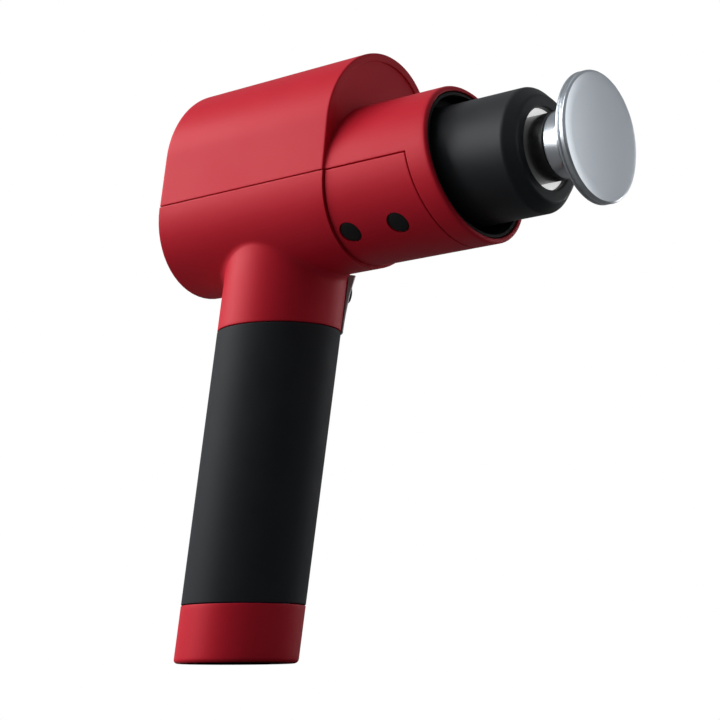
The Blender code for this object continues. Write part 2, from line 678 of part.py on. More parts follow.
def piston_pieces(piston):
    """Piston with its fork and socket, the wrist pin and the piston ring."""
    back = PISTON_BACK - WRIST_X
    front = PISTON_FRONT - WRIST_X
    ring_depth, ring_width = PISTON_RING
    ring_back = PISTON_RING_X - WRIST_X
    ring_front = ring_back + ring_width + 2 * FIT
    floor = front - SPIGOT_LENGTH - SLIDE
    outline = [(0.0, back), (PISTON_RADIUS, back), (PISTON_RADIUS, ring_back),
               (PISTON_RADIUS - ring_depth - FIT, ring_back),
               (PISTON_RADIUS - ring_depth - FIT, ring_front), (PISTON_RADIUS, ring_front),
               (PISTON_RADIUS, front), (SOCKET_RADIUS, front), (SOCKET_RADIUS, floor), (0.0, floor)]
    body = turned("piston", outline, piston, "X", FINE)
    half_slot = ROD_THICK / 2 + SLIDE
    slot = block("slot", (back - OVERCUT, back + FORK_DEPTH), (-WIDE, WIDE),
                 (-half_slot, half_slot), piston)
    pin_way = solid_round("pin_way", WRIST_RADIUS + FIT, -WIDE, WIDE, piston, "Z", COARSE)
    paint(cut(body, slot, pin_way), ALUMINIUM, 0.3, 1.0)
    reach = PISTON_RADIUS - WRIST_INSET
    paint(solid_round("wrist_pin", WRIST_RADIUS, -reach, reach, piston, "Z", COARSE), STEEL, 0.2, 1.0)
    ring = tube("piston_ring", PISTON_RADIUS - ring_depth, PISTON_RADIUS + RING_PROUD,
                ring_back + FIT, ring_back + FIT + ring_width, piston, "X", FINE)
    paint(ring, DARK, 0.5)


def rod_pieces(rod):
    """Connecting rod with the big-end bearing and the crank pin, hinged on the wrist pin."""
    half = ROD_THICK / 2
    shank_half = ROD_SHANK_THICK / 2
    centre = (-ROD_LENGTH, 0.0, 0.0)
    body = tube("connecting_rod", BIG_END_BORE, BIG_END_BORE + ROD_RIM, -half, half, rod, "Z",
                MEDIUM, centre)
    body.data.transform(Matrix.Translation(centre))
    body.location = (0.0, 0.0, 0.0)
    small = tube("small", SMALL_END_BORE, SMALL_END_BORE + ROD_RIM, -half, half, rod, "Z", MEDIUM)
    bite = ROD_RIM / 3
    shank = block("shank", (BIG_END_BORE + bite - ROD_LENGTH, -SMALL_END_BORE - bite),
                  (-ROD_WIDTH / 2, ROD_WIDTH / 2), (-shank_half, shank_half), rod)
    paint(add(body, small, shank), ALUMINIUM, 0.35, 1.0)
    race = CRANK_PIN_RADIUS + FIT
    bearing = tube("big_end_bearing", race, race + BIG_END_BEARING, -shank_half, shank_half, rod,
                   "Z", MEDIUM, centre)
    paint(bearing, STEEL, 0.25, 1.0)
    pin = solid_round("crank_pin", CRANK_PIN_RADIUS, -half, CRANK_DISC_BOTTOM - FIT, rod, "Z",
                      COARSE, centre)
    paint(pin, STEEL, 0.2, 1.0)


def head_pieces(head):
    """Pull-off head: black stem with two O-rings and the polished disc on its neck."""
    collar = PISTON_FRONT + FIT
    spigot_end = PISTON_FRONT - SPIGOT_LENGTH
    socket = PEG_RADIUS + FIT
    peg_floor = STEM_END - PEG_LENGTH - FIT
    groove = SPIGOT_RADIUS - 2 * O_RING_RADIUS
    outline = [(0.0, spigot_end), (SPIGOT_RADIUS, spigot_end)]
    for x in O_RING_PLACES:
        outline += [(SPIGOT_RADIUS, x - O_RING_RADIUS - FIT), (groove, x - O_RING_RADIUS - FIT),
                    (groove, x + O_RING_RADIUS + FIT), (SPIGOT_RADIUS, x + O_RING_RADIUS + FIT)]
    outline += [(SPIGOT_RADIUS, collar), (STEM_RADIUS, collar), (STEM_RADIUS, STEM_END),
                (socket, STEM_END), (socket, peg_floor), (0.0, peg_floor)]
    paint(turned("head_stem", outline, head, "X", MEDIUM), BLACK, 0.35)
    for number, x in enumerate(O_RING_PLACES, start=1):
        section = circle(O_RING_RADIUS - RING_PROUD, 6,
                         (SPIGOT_RADIUS + RING_PROUD - O_RING_RADIUS, x))
        paint(turned(f"o_ring_{number}", section, head, "X", MEDIUM), BLACK, 0.6)
    start = STEM_END + FIT
    flare = arc((STEM_RADIUS + FLARE_RADIUS, DISC_BACK - FLARE_DROP), FLARE_RADIUS, math.pi,
                FLARE_END, 4)
    outline = [(0.0, STEM_END - PEG_LENGTH), (PEG_RADIUS, STEM_END - PEG_LENGTH),
               (PEG_RADIUS, start), (STEM_RADIUS, start)] + flare
    outline += [(DISC_RADIUS - DISC_EDGE, DISC_BACK), (DISC_RADIUS, DISC_BACK + DISC_EDGE),
                (DISC_RADIUS, DISC_FRONT - DISC_EDGE), (DISC_RADIUS - DISC_EDGE, DISC_FRONT),
                (DISC_FLAT, DISC_FRONT + DISC_DOME), (0.0, DISC_FRONT + DISC_DOME)]
    paint(turned("head_disc", outline, head, "X", FINE), STEEL, 0.2, 1.0)


def handle_pieces(handle, root):
    """Grip sleeve and end cap, both cut off level."""
    sleeve = prism("grip_sleeve", circle(HANDLE_RADIUS), level(CAP_TOP + FIT),
                   level(GRIP_TOP - FIT), handle, "Z")
    inside = prism("inside", circle(HANDLE_RADIUS - GRIP_WALL), level(0.0), level(BARREL_HEIGHT),
                   handle, "Z")
    paint(cut(sleeve, inside), DARK, 0.75)

    cap = prism("end_cap", circle(HANDLE_RADIUS), level(0.0), level(CAP_TOP), handle, "Z")
    bm = bmesh.new()
    bm.from_mesh(cap.data)
    foot = [e for e in bm.edges if all(abs(v.co.z - level(0.0)[1] * v.co.x) < 1e-6 for v in e.verts)]
    bmesh.ops.bevel(bm, geom=foot, offset=CAP_ROUND, segments=2, profile=0.5, affect="EDGES")
    bm.to_mesh(cap.data)
    bm.free()
    cup = prism("cup", circle(CORE_BORE), level(CAP_FLOOR), level(CAP_TOP + BEYOND), handle, "Z")
    jack_way = solid_round("jack_way", JACK_RADIUS + FIT, -OVERCUT, CAP_FLOOR + OVERCUT, root, "Z",
                           MEDIUM, (JACK_X, 0.0, 0.0))
    paint(cut(cap, cup, jack_way), RED, 0.4)

    top = JACK_INSET + JACK_HEIGHT
    ledge = top - JACK_WALL - JACK_LEDGE
    bore = JACK_RADIUS - JACK_WALL
    tip = JACK_INSET + JACK_PIN_INSET
    outline = [(0.0, tip), (JACK_PIN, tip), (JACK_PIN, ledge), (bore, ledge), (bore, JACK_INSET),
               (JACK_RADIUS, JACK_INSET), (JACK_RADIUS, top), (0.0, top)]
    jack = turned("charge_jack", outline, root, "Z", MEDIUM, (JACK_X, 0.0, 0.0))
    paint(jack, BLACK, 0.4)


def battery(handle):
    """Two layers of three round cells between insulating plates, with the pack's board on top."""
    reach = (CELL_RADIUS + CELL_GAP) * 2 / math.sqrt(3)
    nipple_radius, nipple_height = CELL_NIPPLE
    number = 0
    for layer in range(2):
        low = PACK_START + PLATE_THICK + FIT + layer * PACK_PITCH
        shoulder = low + CELL_LENGTH
        outline = [(0.0, low), (CELL_RADIUS, low), (CELL_RADIUS, shoulder),
                   (nipple_radius, shoulder), (nipple_radius, shoulder + nipple_height),
                   (0.0, shoulder + nipple_height)]
        for spoke in range(3):
            number += 1
            turn = math.tau * spoke / 3
            cell = turned(f"battery_cell_{number}", outline, handle, "Z", COARSE,
                          (reach * math.cos(turn), reach * math.sin(turn), 0.0))
            paint(cell, BLUE, 0.35)
    for level_number in range(3):
        low = PACK_START + level_number * PACK_PITCH
        plate = solid_round(f"pack_plate_{level_number + 1}", CORE_BORE - 2 * FIT, low,
                            low + PLATE_THICK, handle, "Z", FINE)
        paint(plate, WHITE, 0.6)
    low = PACK_START + 2 * PACK_PITCH + PLATE_THICK + FIT
    board = solid_round("battery_board", CORE_BORE - BATTERY_BOARD_GAP, low, low + BOARD_THICK, handle, "Z",
                        MEDIUM)
    paint(board, GREEN, 0.5)


def thumb_panel(handle, drive, root, button_line):
    """Grey plate on the left of the neck, thicker towards the housing, with the button's hole."""
    inner = HANDLE_RADIUS + FIT
    low = PANEL_BOTTOM / math.cos(RAKE)
    high = PANEL_TOP / math.cos(RAKE)
    profile = [(inner, low), (inner + PANEL_THIN, low), (inner + PANEL_THICK, high), (inner, high)]
    steps = 10
    bm = bmesh.new()
    sections = []
    for i in range(steps + 1):
        turn = PANEL_START + (PANEL_END - PANEL_START) * i / steps
        sections.append([bm.verts.new((radius * math.cos(turn), radius * math.sin(turn), height))
                         for radius, height in profile])
    for here, there in zip(sections, sections[1:]):
        for a, b in ((0, 1), (1, 2), (2, 3), (3, 0)):
            bm.faces.new((here[a], here[b], there[b], there[a]))
    bm.faces.new(sections[0])
    bm.faces.new(sections[-1])
    panel = place("thumb_panel", bm, handle)
    housing = prism("housing", circle(HOUSING_RADIUS + FIT), (REAR_X, REAR_SLOPE),
                    (CREST_X, CREST_SLOPE), drive)
    hole = solid_round("hole", BUTTON_RADIUS + FIT, -BEYOND, BEYOND, button_line, "Z", MEDIUM)
    paint(cut(panel, housing, neck_fillet("fillet", FIT, root), hole), GREY, 0.4, 0.4)


def power_button(button_line):
    """Round push button; its frame's Z points out of the handle."""
    obj = turned("power_button", [(0.0, 0.0), (BUTTON_RADIUS, 0.0),
                                  (BUTTON_RADIUS, BUTTON_THICK - BUTTON_EDGE),
                                  (BUTTON_RADIUS - BUTTON_EDGE, BUTTON_THICK),
                                  (0.0, BUTTON_THICK)],
                 button_line, "Z", MEDIUM)
    paint(obj, BLACK, 0.4)


def button_frame(handle):
    """Origin under the button at rest, on its line of travel."""
    seat = HANDLE_RADIUS + FIT + BUTTON_TRAVEL
    at = (seat * math.cos(BUTTON_AZIMUTH), seat * math.sin(BUTTON_AZIMUTH), BUTTON_ALONG)
    return empty("button_line", at, (0.0, math.pi / 2, BUTTON_AZIMUTH), handle)


def main():
    clear_scene()
    root = empty("massage_gun", (0.0, 0.0, 0.0))
    handle = empty("handle_line", (0.0, 0.0, 0.0), (0.0, RAKE, 0.0), root)
    drive = empty("drive_line", CROSSING, parent=root)
    rotor = empty("rotor_axis", (CRANK_X, 0.0, 0.0), parent=drive)
    piston = empty("piston_axis", (WRIST_X, 0.0, 0.0), parent=drive)
    rod = empty("rod_axis", (0.0, 0.0, 0.0), (0.0, 0.0, -ROD_LEAN), piston)
    head = empty("head_axis", (0.0, 0.0, 0.0), parent=drive)
    button_line = button_frame(handle)

    paint(upper_shell(drive), RED, 0.4)
    paint(lower_shell(drive, handle, root), RED, 0.4)
    cover, lines = barrel_cover(drive)
    paint(cover, RED, 0.4)
    fasteners(lines)
    rear_pieces(drive)
    drive_board(drive)
    mouth_seal(drive)
    nose_sleeve(drive)
    guide_bush(drive)
    drive_frame(drive, lines)
    motor(drive, rotor)
    piston_pieces(piston)
    rod_pieces(rod)
    head_pieces(head)
    handle_pieces(handle, root)
    battery(handle)
    thumb_panel(handle, drive, root, button_line)
    power_button(button_line)


main()
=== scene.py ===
"""Looks of a percussion massage gun: fine shells, grip, nose, head and trim over its working parts.

Metres, +Z up, +X towards the head. The barrel's axis lies along X and crosses the handle's raked
axis at CROSSING. Places along the barrel are given as (offset, slope) planes from that point.
"""
import json
import math

import bmesh
import bpy
from mathutils import Matrix, Vector


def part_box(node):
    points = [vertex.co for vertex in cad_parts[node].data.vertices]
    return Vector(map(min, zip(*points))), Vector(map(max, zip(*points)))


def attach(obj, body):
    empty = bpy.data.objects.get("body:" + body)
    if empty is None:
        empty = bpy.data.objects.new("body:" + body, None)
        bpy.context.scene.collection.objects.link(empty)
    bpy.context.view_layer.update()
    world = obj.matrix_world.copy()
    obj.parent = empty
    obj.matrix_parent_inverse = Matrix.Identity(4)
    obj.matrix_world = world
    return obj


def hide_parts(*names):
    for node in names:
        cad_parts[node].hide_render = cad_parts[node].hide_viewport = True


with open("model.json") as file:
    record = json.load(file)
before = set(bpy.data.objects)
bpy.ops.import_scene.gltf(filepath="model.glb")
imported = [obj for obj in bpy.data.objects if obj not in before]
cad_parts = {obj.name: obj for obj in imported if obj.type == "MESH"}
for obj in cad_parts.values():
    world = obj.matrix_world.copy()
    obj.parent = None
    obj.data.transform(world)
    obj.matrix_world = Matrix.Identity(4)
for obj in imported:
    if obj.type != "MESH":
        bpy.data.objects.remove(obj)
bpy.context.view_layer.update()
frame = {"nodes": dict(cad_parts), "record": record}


def half_width(node):
    """Half of a node's size across the object."""
    low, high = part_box(node)
    return (high.y - low.y) / 2


# Angles and clearances of the design
RAKE = math.radians(9.8)
CREST_RAKE = math.radians(7.2)
MOUTH_RAKE = math.radians(10.0)
SEAM = 0.0004
FIT = 0.0003

# Where the barrel's axis crosses the handle's
AXIS_HEIGHT = sum(corner.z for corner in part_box("head_disc")) / 2
CROSSING = Vector((AXIS_HEIGHT * math.tan(RAKE), 0.0, AXIS_HEIGHT))
BARREL_AXIS = Matrix.Translation(CROSSING) @ Matrix.Rotation(math.pi / 2, 4, "Y")
HANDLE_TURN = Matrix.Rotation(RAKE, 4, "Y")


def span(node):
    """Where a node starts and ends along the barrel, from the crossing."""
    return tuple(corner.x - CROSSING.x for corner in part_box(node))


# Sizes taken from the part's solids
HOUSING_RADIUS = half_width("upper_shell")
CREST_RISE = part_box("upper_shell")[1].z - AXIS_HEIGHT - HOUSING_RADIUS
BARREL_RADIUS = HOUSING_RADIUS - 0.0010
HANDLE_RADIUS = half_width("grip_sleeve")
MOUTH_LEAN = BARREL_RADIUS * math.tan(MOUTH_RAKE)
REAR_X = span("upper_shell")[0]
CREST_X = span("lower_shell")[1]
MOUTH_X = span("upper_shell")[1] - MOUTH_LEAN
COVER_X = span("barrel_cover")[1] + SEAM - MOUTH_LEAN
CAP_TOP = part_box("grip_sleeve")[0].z - FIT
GRIP_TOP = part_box("grip_sleeve")[1].z + FIT

# Planes across the barrel: x = offset + slope * z
REAR = (REAR_X, math.tan(RAKE))
CREST = (CREST_X, math.tan(CREST_RAKE))
COVER = (COVER_X, -math.tan(MOUTH_RAKE))
MOUTH = (MOUTH_X, -math.tan(MOUTH_RAKE))

# Walls and edges
HOUSING_WALL = 0.0022
BARREL_WALL = 0.0019
CORE_WALL = 0.0017
GRIP_WALL = 0.0012
SEAM_EDGE = 0.00025
RIM_EDGE = 0.0007
CREST_EDGE = 0.0006
LIP_EDGE = 0.0011
SMALL_EDGE = 0.0003
CREST_BORDER = 0.0030
CREST_RECESS = 0.0006
NECK_FILLET = 0.0035
TONGUE_HEIGHT = 0.0024
TONGUE_THICK = 0.0006
TONGUE_GAP = 0.0001
TONGUE_END = 0.0004
COVER_TONGUE = 0.0013
COVER_TONGUE_THICK = 0.0008

# Small pieces
PLUG_RADIUS = 0.0043
PLUG_PLAY = 0.00015
PLUG_ANGLE = math.radians(41.5)
BUTTON_RADIUS = 0.0034
BUTTON_THICK = 0.0018
BUTTON_AZIMUTH = math.radians(58.0)
REAR_INSET = 0.0006
REAR_THICK = 0.0026
LENS_RADIUS = 0.0200
LENS_THICK = 0.0014
NOSE_BORE = 0.0146
O_RING_PLACES = (0.0900, 0.0980)
SPIGOT_RADIUS = 0.0080
STEM_RADIUS = 0.0120
PEG_RADIUS = 0.0060

# Where the loops lie: fine near an edge, even elsewhere
EDGE_STEPS = (0.0, 0.00004, 0.00012, 0.00025, 0.0006)
SIDE_STEPS = 10
CREST_STEPS = 72
COVER_STEPS = 16
ROUND = 144
SMALL_ROUND = 72

# How meshes are joined and rounded; a loop at HOLD beyond an edge keeps the face flat
HOLD = 0.0006
MERGE = 2e-6
SLIVER = 1e-7
TOUCH = 1e-5
SHARP = 35.0
ARC_STEPS = 4
SUPPORT = 0.6
EDGE_SHARE = 0.45
NEARLY_STRAIGHT = math.radians(176)


def drive(point):
    """A place measured from the crossing, in the world."""
    return CROSSING + Vector(point)


def along_handle(radius, azimuth, height):
    """A point of the handle's round, on the level plane at this height."""
    x = radius * math.cos(azimuth)
    climb = height / math.cos(RAKE) + math.tan(RAKE) * x
    return Vector((x * math.cos(RAKE) + climb * math.sin(RAKE), radius * math.sin(azimuth), height))


def handle_ring(radius, height):
    """A full round of the handle on a level plane."""
    return [along_handle(radius, math.tau * i / ROUND, height) for i in range(ROUND)]


def barrel_round(radius, plane):
    """A full round about the barrel's axis on a plane across it."""
    angles = [math.tau * i / ROUND for i in range(ROUND)]
    return [on_plane(plane, radius * math.cos(a), radius * math.sin(a)) for a in angles]


def mesh_object(name, bm):
    """Turn a bmesh into an object of the scene."""
    mesh = bpy.data.meshes.new(name)
    bm.to_mesh(mesh)
    bm.free()
    obj = bpy.data.objects.new(name, mesh)
    bpy.context.scene.collection.objects.link(obj)
    return obj


def smooth(mesh, sharp=SHARP):
    """Shade smooth, but keep edges steeper than this many degrees."""
    mesh.shade_smooth()
    mesh.set_sharp_from_angle(angle=math.radians(sharp))


def finish_piece(name, bm, body, material, node, sharp=SHARP):
    """Merge, turn the faces out, and set the mesh on its body in the place of a node."""
    bmesh.ops.remove_doubles(bm, verts=bm.verts, dist=MERGE)
    bmesh.ops.dissolve_degenerate(bm, edges=bm.edges, dist=SLIVER)
    bmesh.ops.recalc_face_normals(bm, faces=bm.faces)
    obj = mesh_object(name, bm)
    smooth(obj.data, sharp)
    obj.data.materials.append(material)
    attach(obj, body)
    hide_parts(node)
    return obj


def loft(bm, rings, closed=True, around=True):
    """Extrude the first ring's edges through the others; closed joins the last ring to the first."""
    verts = [bm.verts.new(point) for point in rings[0]]
    pairs = list(zip(verts, verts[1:]))
    if around:
        pairs.append((verts[-1], verts[0]))
    edges = [bm.edges.new(pair) for pair in pairs]
    for ring in rings[1:] + (rings[:1] if closed else []):
        grown = bmesh.ops.extrude_edge_only(bm, edges=edges)["geom"]
        fresh = {item for item in grown if isinstance(item, bmesh.types.BMVert)}
        following = []
        for vert, point in zip(verts, ring):
            twin = next(e.other_vert(vert) for e in vert.link_edges if e.other_vert(vert) in fresh)
            twin.co = point
            following.append(twin)
        verts = following
        pairs = zip(verts, verts[1:] + verts[:1])
        edges = [edge for edge in map(bm.edges.get, pairs) if edge is not None]


def seal_ends(bm):
    """Close the two flat ends of a swept section."""
    bmesh.ops.remove_doubles(bm, verts=bm.verts, dist=MERGE)
    bmesh.ops.holes_fill(bm, edges=[e for e in bm.edges if e.is_boundary], sides=0)


def quarter(radius, steps=4):
    """(inset, retreat) pairs round an edge, from the face to the side."""
    turns = [math.pi / 2 * i / steps for i in range(steps + 1)]
    return [(radius * (1 - math.sin(a)), radius * (1 - math.cos(a))) for a in turns]


def eased(distance, radius=SEAM_EDGE):
    """How far the surface sinks this close to a rounded edge."""
    if distance >= radius:
        return 0.0
    return radius - math.sqrt(radius ** 2 - (radius - distance) ** 2)


def between(a, b, share):
    """A plane part of the way from one to another."""
    return tuple(x + (y - x) * share for x, y in zip(a, b))


def shift(plane, distance):
    """The same plane further along the barrel."""
    return (plane[0] + distance, plane[1])


def on_plane(plane, y, z):
    """The place on a plane at this side and height of the barrel's axis."""
    return drive((plane[0] + plane[1] * z, y, z))


def rounded(profile):
    """Turn the corners of a (radius, along[, edge]) outline into arcs with a support point each side."""
    points = []
    for i, corner in enumerate(profile):
        here = Vector(corner[:2])
        size = corner[2] if len(corner) > 2 else SMALL_EDGE
        if i in (0, len(profile) - 1) or size <= 0.0:
            points.append(here)
            continue
        back = Vector(profile[i - 1][:2]) - here
        ahead = Vector(profile[i + 1][:2]) - here
        opening = back.angle(ahead, math.pi)
        if opening > NEARLY_STRAIGHT:
            points.append(here)
            continue
        reach = min(size / math.tan(opening / 2), EDGE_SHARE * back.length, EDGE_SHARE * ahead.length)
        back.normalize()
        ahead.normalize()
        radius = reach * math.tan(opening / 2)
        centre = here + (back + ahead).normalized() * radius / math.sin(opening / 2)
        start = here + back * reach
        end = here + ahead * reach
        support = min(radius * SUPPORT, 0.3 * reach + 0.0001)
        first = start - centre
        sense = 1.0 if first.x * (end - centre).y - first.y * (end - centre).x > 0 else -1.0
        points.append(start + back * support)
        for k in range(ARC_STEPS + 1):
            turn = sense * (math.pi - opening) * k / ARC_STEPS
            points.append(centre + Vector((first.x * math.cos(turn) - first.y * math.sin(turn),
                                           first.x * math.sin(turn) + first.y * math.cos(turn))))
        points.append(end + ahead * support)
    return points


def closed_round(profile):
    """The same for an outline that returns to its start: each corner is rounded."""
    return rounded([profile[-1]] + list(profile) + [profile[0]])[1:-1]


def lathe(points, closed, place, steps=ROUND):
    """Spin (radius, along) points about local Z and set the round by a matrix."""
    bm = bmesh.new()
    verts = [bm.verts.new((p[0], 0.0, p[1])) for p in points]
    edges = [bm.edges.new(pair) for pair in zip(verts, verts[1:])]
    if closed:
        edges.append(bm.edges.new((verts[-1], verts[0])))
    bmesh.ops.spin(bm, geom=verts + edges, cent=(0.0, 0.0, 0.0), axis=(0.0, 0.0, 1.0),
                   angle=math.tau, steps=steps, use_merge=True)
    bmesh.ops.transform(bm, matrix=place, verts=bm.verts)
    return bm


def cut_from(obj, cutters):
    """Cut closed bmeshes out of a finished piece."""
    for bm in cutters:
        bmesh.ops.remove_doubles(bm, verts=bm.verts, dist=MERGE)
        bmesh.ops.recalc_face_normals(bm, faces=bm.faces)
        tool = mesh_object("cutter", bm)
        step = obj.modifiers.new("cut", "BOOLEAN")
        step.operation = "DIFFERENCE"
        step.object = tool
        bpy.context.view_layer.update()
        shaped = obj.evaluated_get(bpy.context.evaluated_depsgraph_get())
        result = bpy.data.meshes.new_from_object(shaped)
        obj.modifiers.clear()
        obj.data = result
        bpy.data.objects.remove(tool)
    smooth(obj.data)


# ---------------------------------------------------------------- finishes

def add_node(tree, kind, **values):
    """A shader node with some of its inputs set."""
    node = tree.nodes.new("ShaderNode" + kind)
    for label, value in values.items():
        node.inputs[label.replace("_", " ")].default_value = value
    return node


def wire(tree, *pairs):
    """Join outputs to inputs."""
    for source, target in pairs:
        tree.links.new(source, target)


def new_group(name, **settings):
    """A node group with float settings, which gives a height for the bump and a mask for the colour."""
    group = bpy.data.node_groups.new(name, "ShaderNodeTree")
    for label, value in settings.items():
        socket = group.interface.new_socket(label, in_out="INPUT", socket_type="NodeSocketFloat")
        socket.default_value = value
    for label in ("Height", "Mask"):
        group.interface.new_socket(label, in_out="OUTPUT", socket_type="NodeSocketFloat")
    return group, group.nodes.new("NodeGroupInput"), group.nodes.new("NodeGroupOutput")


def grain_group():
    """Moulded grain: fine bumps over a broad unevenness, with a mask for the colour."""
    group, take, give = new_group("moulded_grain", Fine=4000.0, Broad=90.0, Uneven=0.3)
    place = add_node(group, "TexCoord")
    fine = add_node(group, "TexNoise", Detail=3.0)
    broad = add_node(group, "TexNoise", Detail=4.0)
    mix = add_node(group, "Mix")
    wire(group,
         (place.outputs["Object"], fine.inputs["Vector"]),
         (place.outputs["Object"], broad.inputs["Vector"]),
         (take.outputs["Fine"], fine.inputs["Scale"]),
         (take.outputs["Broad"], broad.inputs["Scale"]),
         (take.outputs["Uneven"], mix.inputs["Factor"]),
         (fine.outputs["Fac"], mix.inputs["A"]),
         (broad.outputs["Fac"], mix.inputs["B"]),
         (mix.outputs["Result"], give.inputs["Height"]),
         (broad.outputs["Fac"], give.inputs["Mask"]))
    return group


def turned_group():
    """Fine rings of a lathe about the barrel's axis, slightly broken round the turn."""
    group, take, give = new_group("turned_rings", Pitch=9000.0, Wander=0.5)
    place = add_node(group, "TexCoord")
    centre = add_node(group, "Mapping", Location=-CROSSING)
    apart = add_node(group, "SeparateXYZ")
    across = add_node(group, "CombineXYZ")
    length = add_node(group, "VectorMath")
    length.operation = "LENGTH"
    reach = add_node(group, "CombineXYZ")
    rings = add_node(group, "TexNoise", Detail=2.0)
    smudge = add_node(group, "TexNoise", Scale=60.0, Detail=3.0)
    mix = add_node(group, "Mix")
    wire(group,
         (place.outputs["Object"], centre.inputs["Vector"]),
         (centre.outputs["Vector"], apart.inputs["Vector"]),
         (apart.outputs["Y"], across.inputs["Y"]),
         (apart.outputs["Z"], across.inputs["Z"]),
         (across.outputs["Vector"], length.inputs[0]),
         (length.outputs["Value"], reach.inputs["X"]),
         (apart.outputs["X"], reach.inputs["Y"]),
         (reach.outputs["Vector"], rings.inputs["Vector"]),
         (take.outputs["Pitch"], rings.inputs["Scale"]),
         (place.outputs["Object"], smudge.inputs["Vector"]),
         (take.outputs["Wander"], mix.inputs["Factor"]),
         (rings.outputs["Fac"], mix.inputs["A"]),
         (smudge.outputs["Fac"], mix.inputs["B"]),
         (rings.outputs["Fac"], give.inputs["Height"]),
         (mix.outputs["Result"], give.inputs["Mask"]))
    return group


def ramp(tree, low, high, start=0.3, end=0.7):
    """A colour ramp over the middle of a noise's range."""
    node = add_node(tree, "ValToRGB")
    for stop, place, colour in zip(node.color_ramp.elements, (start, end), (low, high)):
        stop.position = place
        stop.color = colour
    return node


def grey(value):
    """An even tone as a colour."""
    return (value, value, value, 1.0)


def finish(name, group, settings, colours, roughness, bump, metallic=0.0, depth=0.00002, **fixed):
    """A Principled material whose colour, roughness and bump follow a shared effect group."""
    material = bpy.data.materials.new(name)
    material.use_nodes = True
    tree = material.node_tree
    shader = tree.nodes["Principled BSDF"]
    effect = tree.nodes.new("ShaderNodeGroup")
    effect.node_tree = group
    for label, value in settings.items():
        effect.inputs[label].default_value = value
    tint = ramp(tree, *colours)
    gloss = ramp(tree, *[grey(value) for value in roughness])
    relief = add_node(tree, "Bump", Strength=bump, Distance=depth)
    wire(tree,
         (effect.outputs["Mask"], tint.inputs["Fac"]),
         (effect.outputs["Mask"], gloss.inputs["Fac"]),
         (effect.outputs["Height"], relief.inputs["Height"]),
         (tint.outputs["Color"], shader.inputs["Base Color"]),
         (gloss.outputs["Color"], shader.inputs["Roughness"]),
         (relief.outputs["Normal"], shader.inputs["Normal"]))
    shader.inputs["Metallic"].default_value = metallic
    for label, value in fixed.items():
        shader.inputs[label.replace("_", " ")].default_value = value
    return material


GRAIN = grain_group()
TURNED = turned_group()

RED_PAINT = finish("satin_red_paint", GRAIN, {"Fine": 5200.0, "Broad": 40.0, "Uneven": 0.15},
                   [(0.545, 0.0098, 0.0255, 1.0), (0.565, 0.0110, 0.0280, 1.0)], (0.47, 0.53), 0.10,
                   metallic=0.06, depth=0.00001, Specular_IOR_Level=0.16)
GRIP_SILICONE = finish("grip_silicone", GRAIN, {"Fine": 3600.0, "Broad": 70.0, "Uneven": 0.2},
                       [(0.0165, 0.0183, 0.0212, 1.0), (0.0205, 0.0227, 0.0260, 1.0)], (0.56, 0.64),
                       0.25, depth=0.00003, Specular_IOR_Level=0.12)
NOSE_POLYMER = finish("nose_polymer", GRAIN, {"Fine": 5000.0, "Broad": 80.0, "Uneven": 0.2},
                      [(0.0140, 0.0157, 0.0178, 1.0), (0.0175, 0.0195, 0.0220, 1.0)],
                      (0.42, 0.50), 0.16, depth=0.00002, Specular_IOR_Level=0.24)
STEM_POLYMER = finish("stem_polymer", GRAIN, {"Fine": 6000.0, "Broad": 90.0, "Uneven": 0.2},
                      [(0.0045, 0.0046, 0.0050, 1.0), (0.0070, 0.0072, 0.0078, 1.0)],
                      (0.26, 0.36), 0.10, depth=0.00001)
SOFT_RUBBER = finish("soft_rubber", GRAIN, {"Fine": 3000.0, "Broad": 120.0, "Uneven": 0.3},
                     [(0.0080, 0.0082, 0.0085, 1.0), (0.0110, 0.0112, 0.0115, 1.0)],
                     (0.62, 0.78), 0.35, depth=0.00004, Specular_IOR_Level=0.20)
REAR_POLYMER = finish("rear_polymer", GRAIN, {"Fine": 3800.0, "Broad": 90.0, "Uneven": 0.25},
                      [(0.0090, 0.0095, 0.0105, 1.0), (0.0130, 0.0138, 0.0150, 1.0)],
                      (0.46, 0.56), 0.30, depth=0.00003)
GLASS_BLACK = finish("display_black", GRAIN, {"Fine": 900.0, "Broad": 45.0, "Uneven": 0.9},
                     [(0.0020, 0.0022, 0.0028, 1.0), (0.0032, 0.0035, 0.0042, 1.0)],
                     (0.04, 0.10), 0.02, depth=0.00001)
GREY_TRIM = finish("grey_trim_paint", GRAIN, {"Fine": 7000.0, "Broad": 100.0, "Uneven": 0.1},
                   [(0.38, 0.385, 0.39, 1.0), (0.44, 0.445, 0.45, 1.0)], (0.36, 0.44), 0.12,
                   metallic=0.2, depth=0.00001)
# White polymer with a painted glow: the emission stands in for light reaching the funnel inside the
# shaded nose bore, and the inner white pieces glow the same way.
GLOWING_WHITE_POLYMER = finish("bush_white_painted_glow", GRAIN, {"Fine": 4200.0, "Broad": 110.0, "Uneven": 0.3},
                    [(0.78, 0.79, 0.80, 1.0), (0.86, 0.87, 0.87, 1.0)], (0.22, 0.34), 0.12,
                    depth=0.00001, Emission_Color=(1.0, 1.0, 1.0, 1.0), Emission_Strength=0.6)
DISC_METAL = finish("disc_metal", TURNED, {"Pitch": 2400.0, "Wander": 0.35},
                    [(0.585, 0.62, 0.66, 1.0), (0.605, 0.64, 0.68, 1.0)], (0.25, 0.265), 0.02,
                    metallic=1.0, depth=0.00001)
CAST_METAL = finish("cast_metal", GRAIN, {"Fine": 2200.0, "Broad": 220.0, "Uneven": 0.4},
                    [(0.50, 0.51, 0.53, 1.0), (0.64, 0.65, 0.67, 1.0)], (0.38, 0.56), 0.45,
                    metallic=1.0, depth=0.00005)
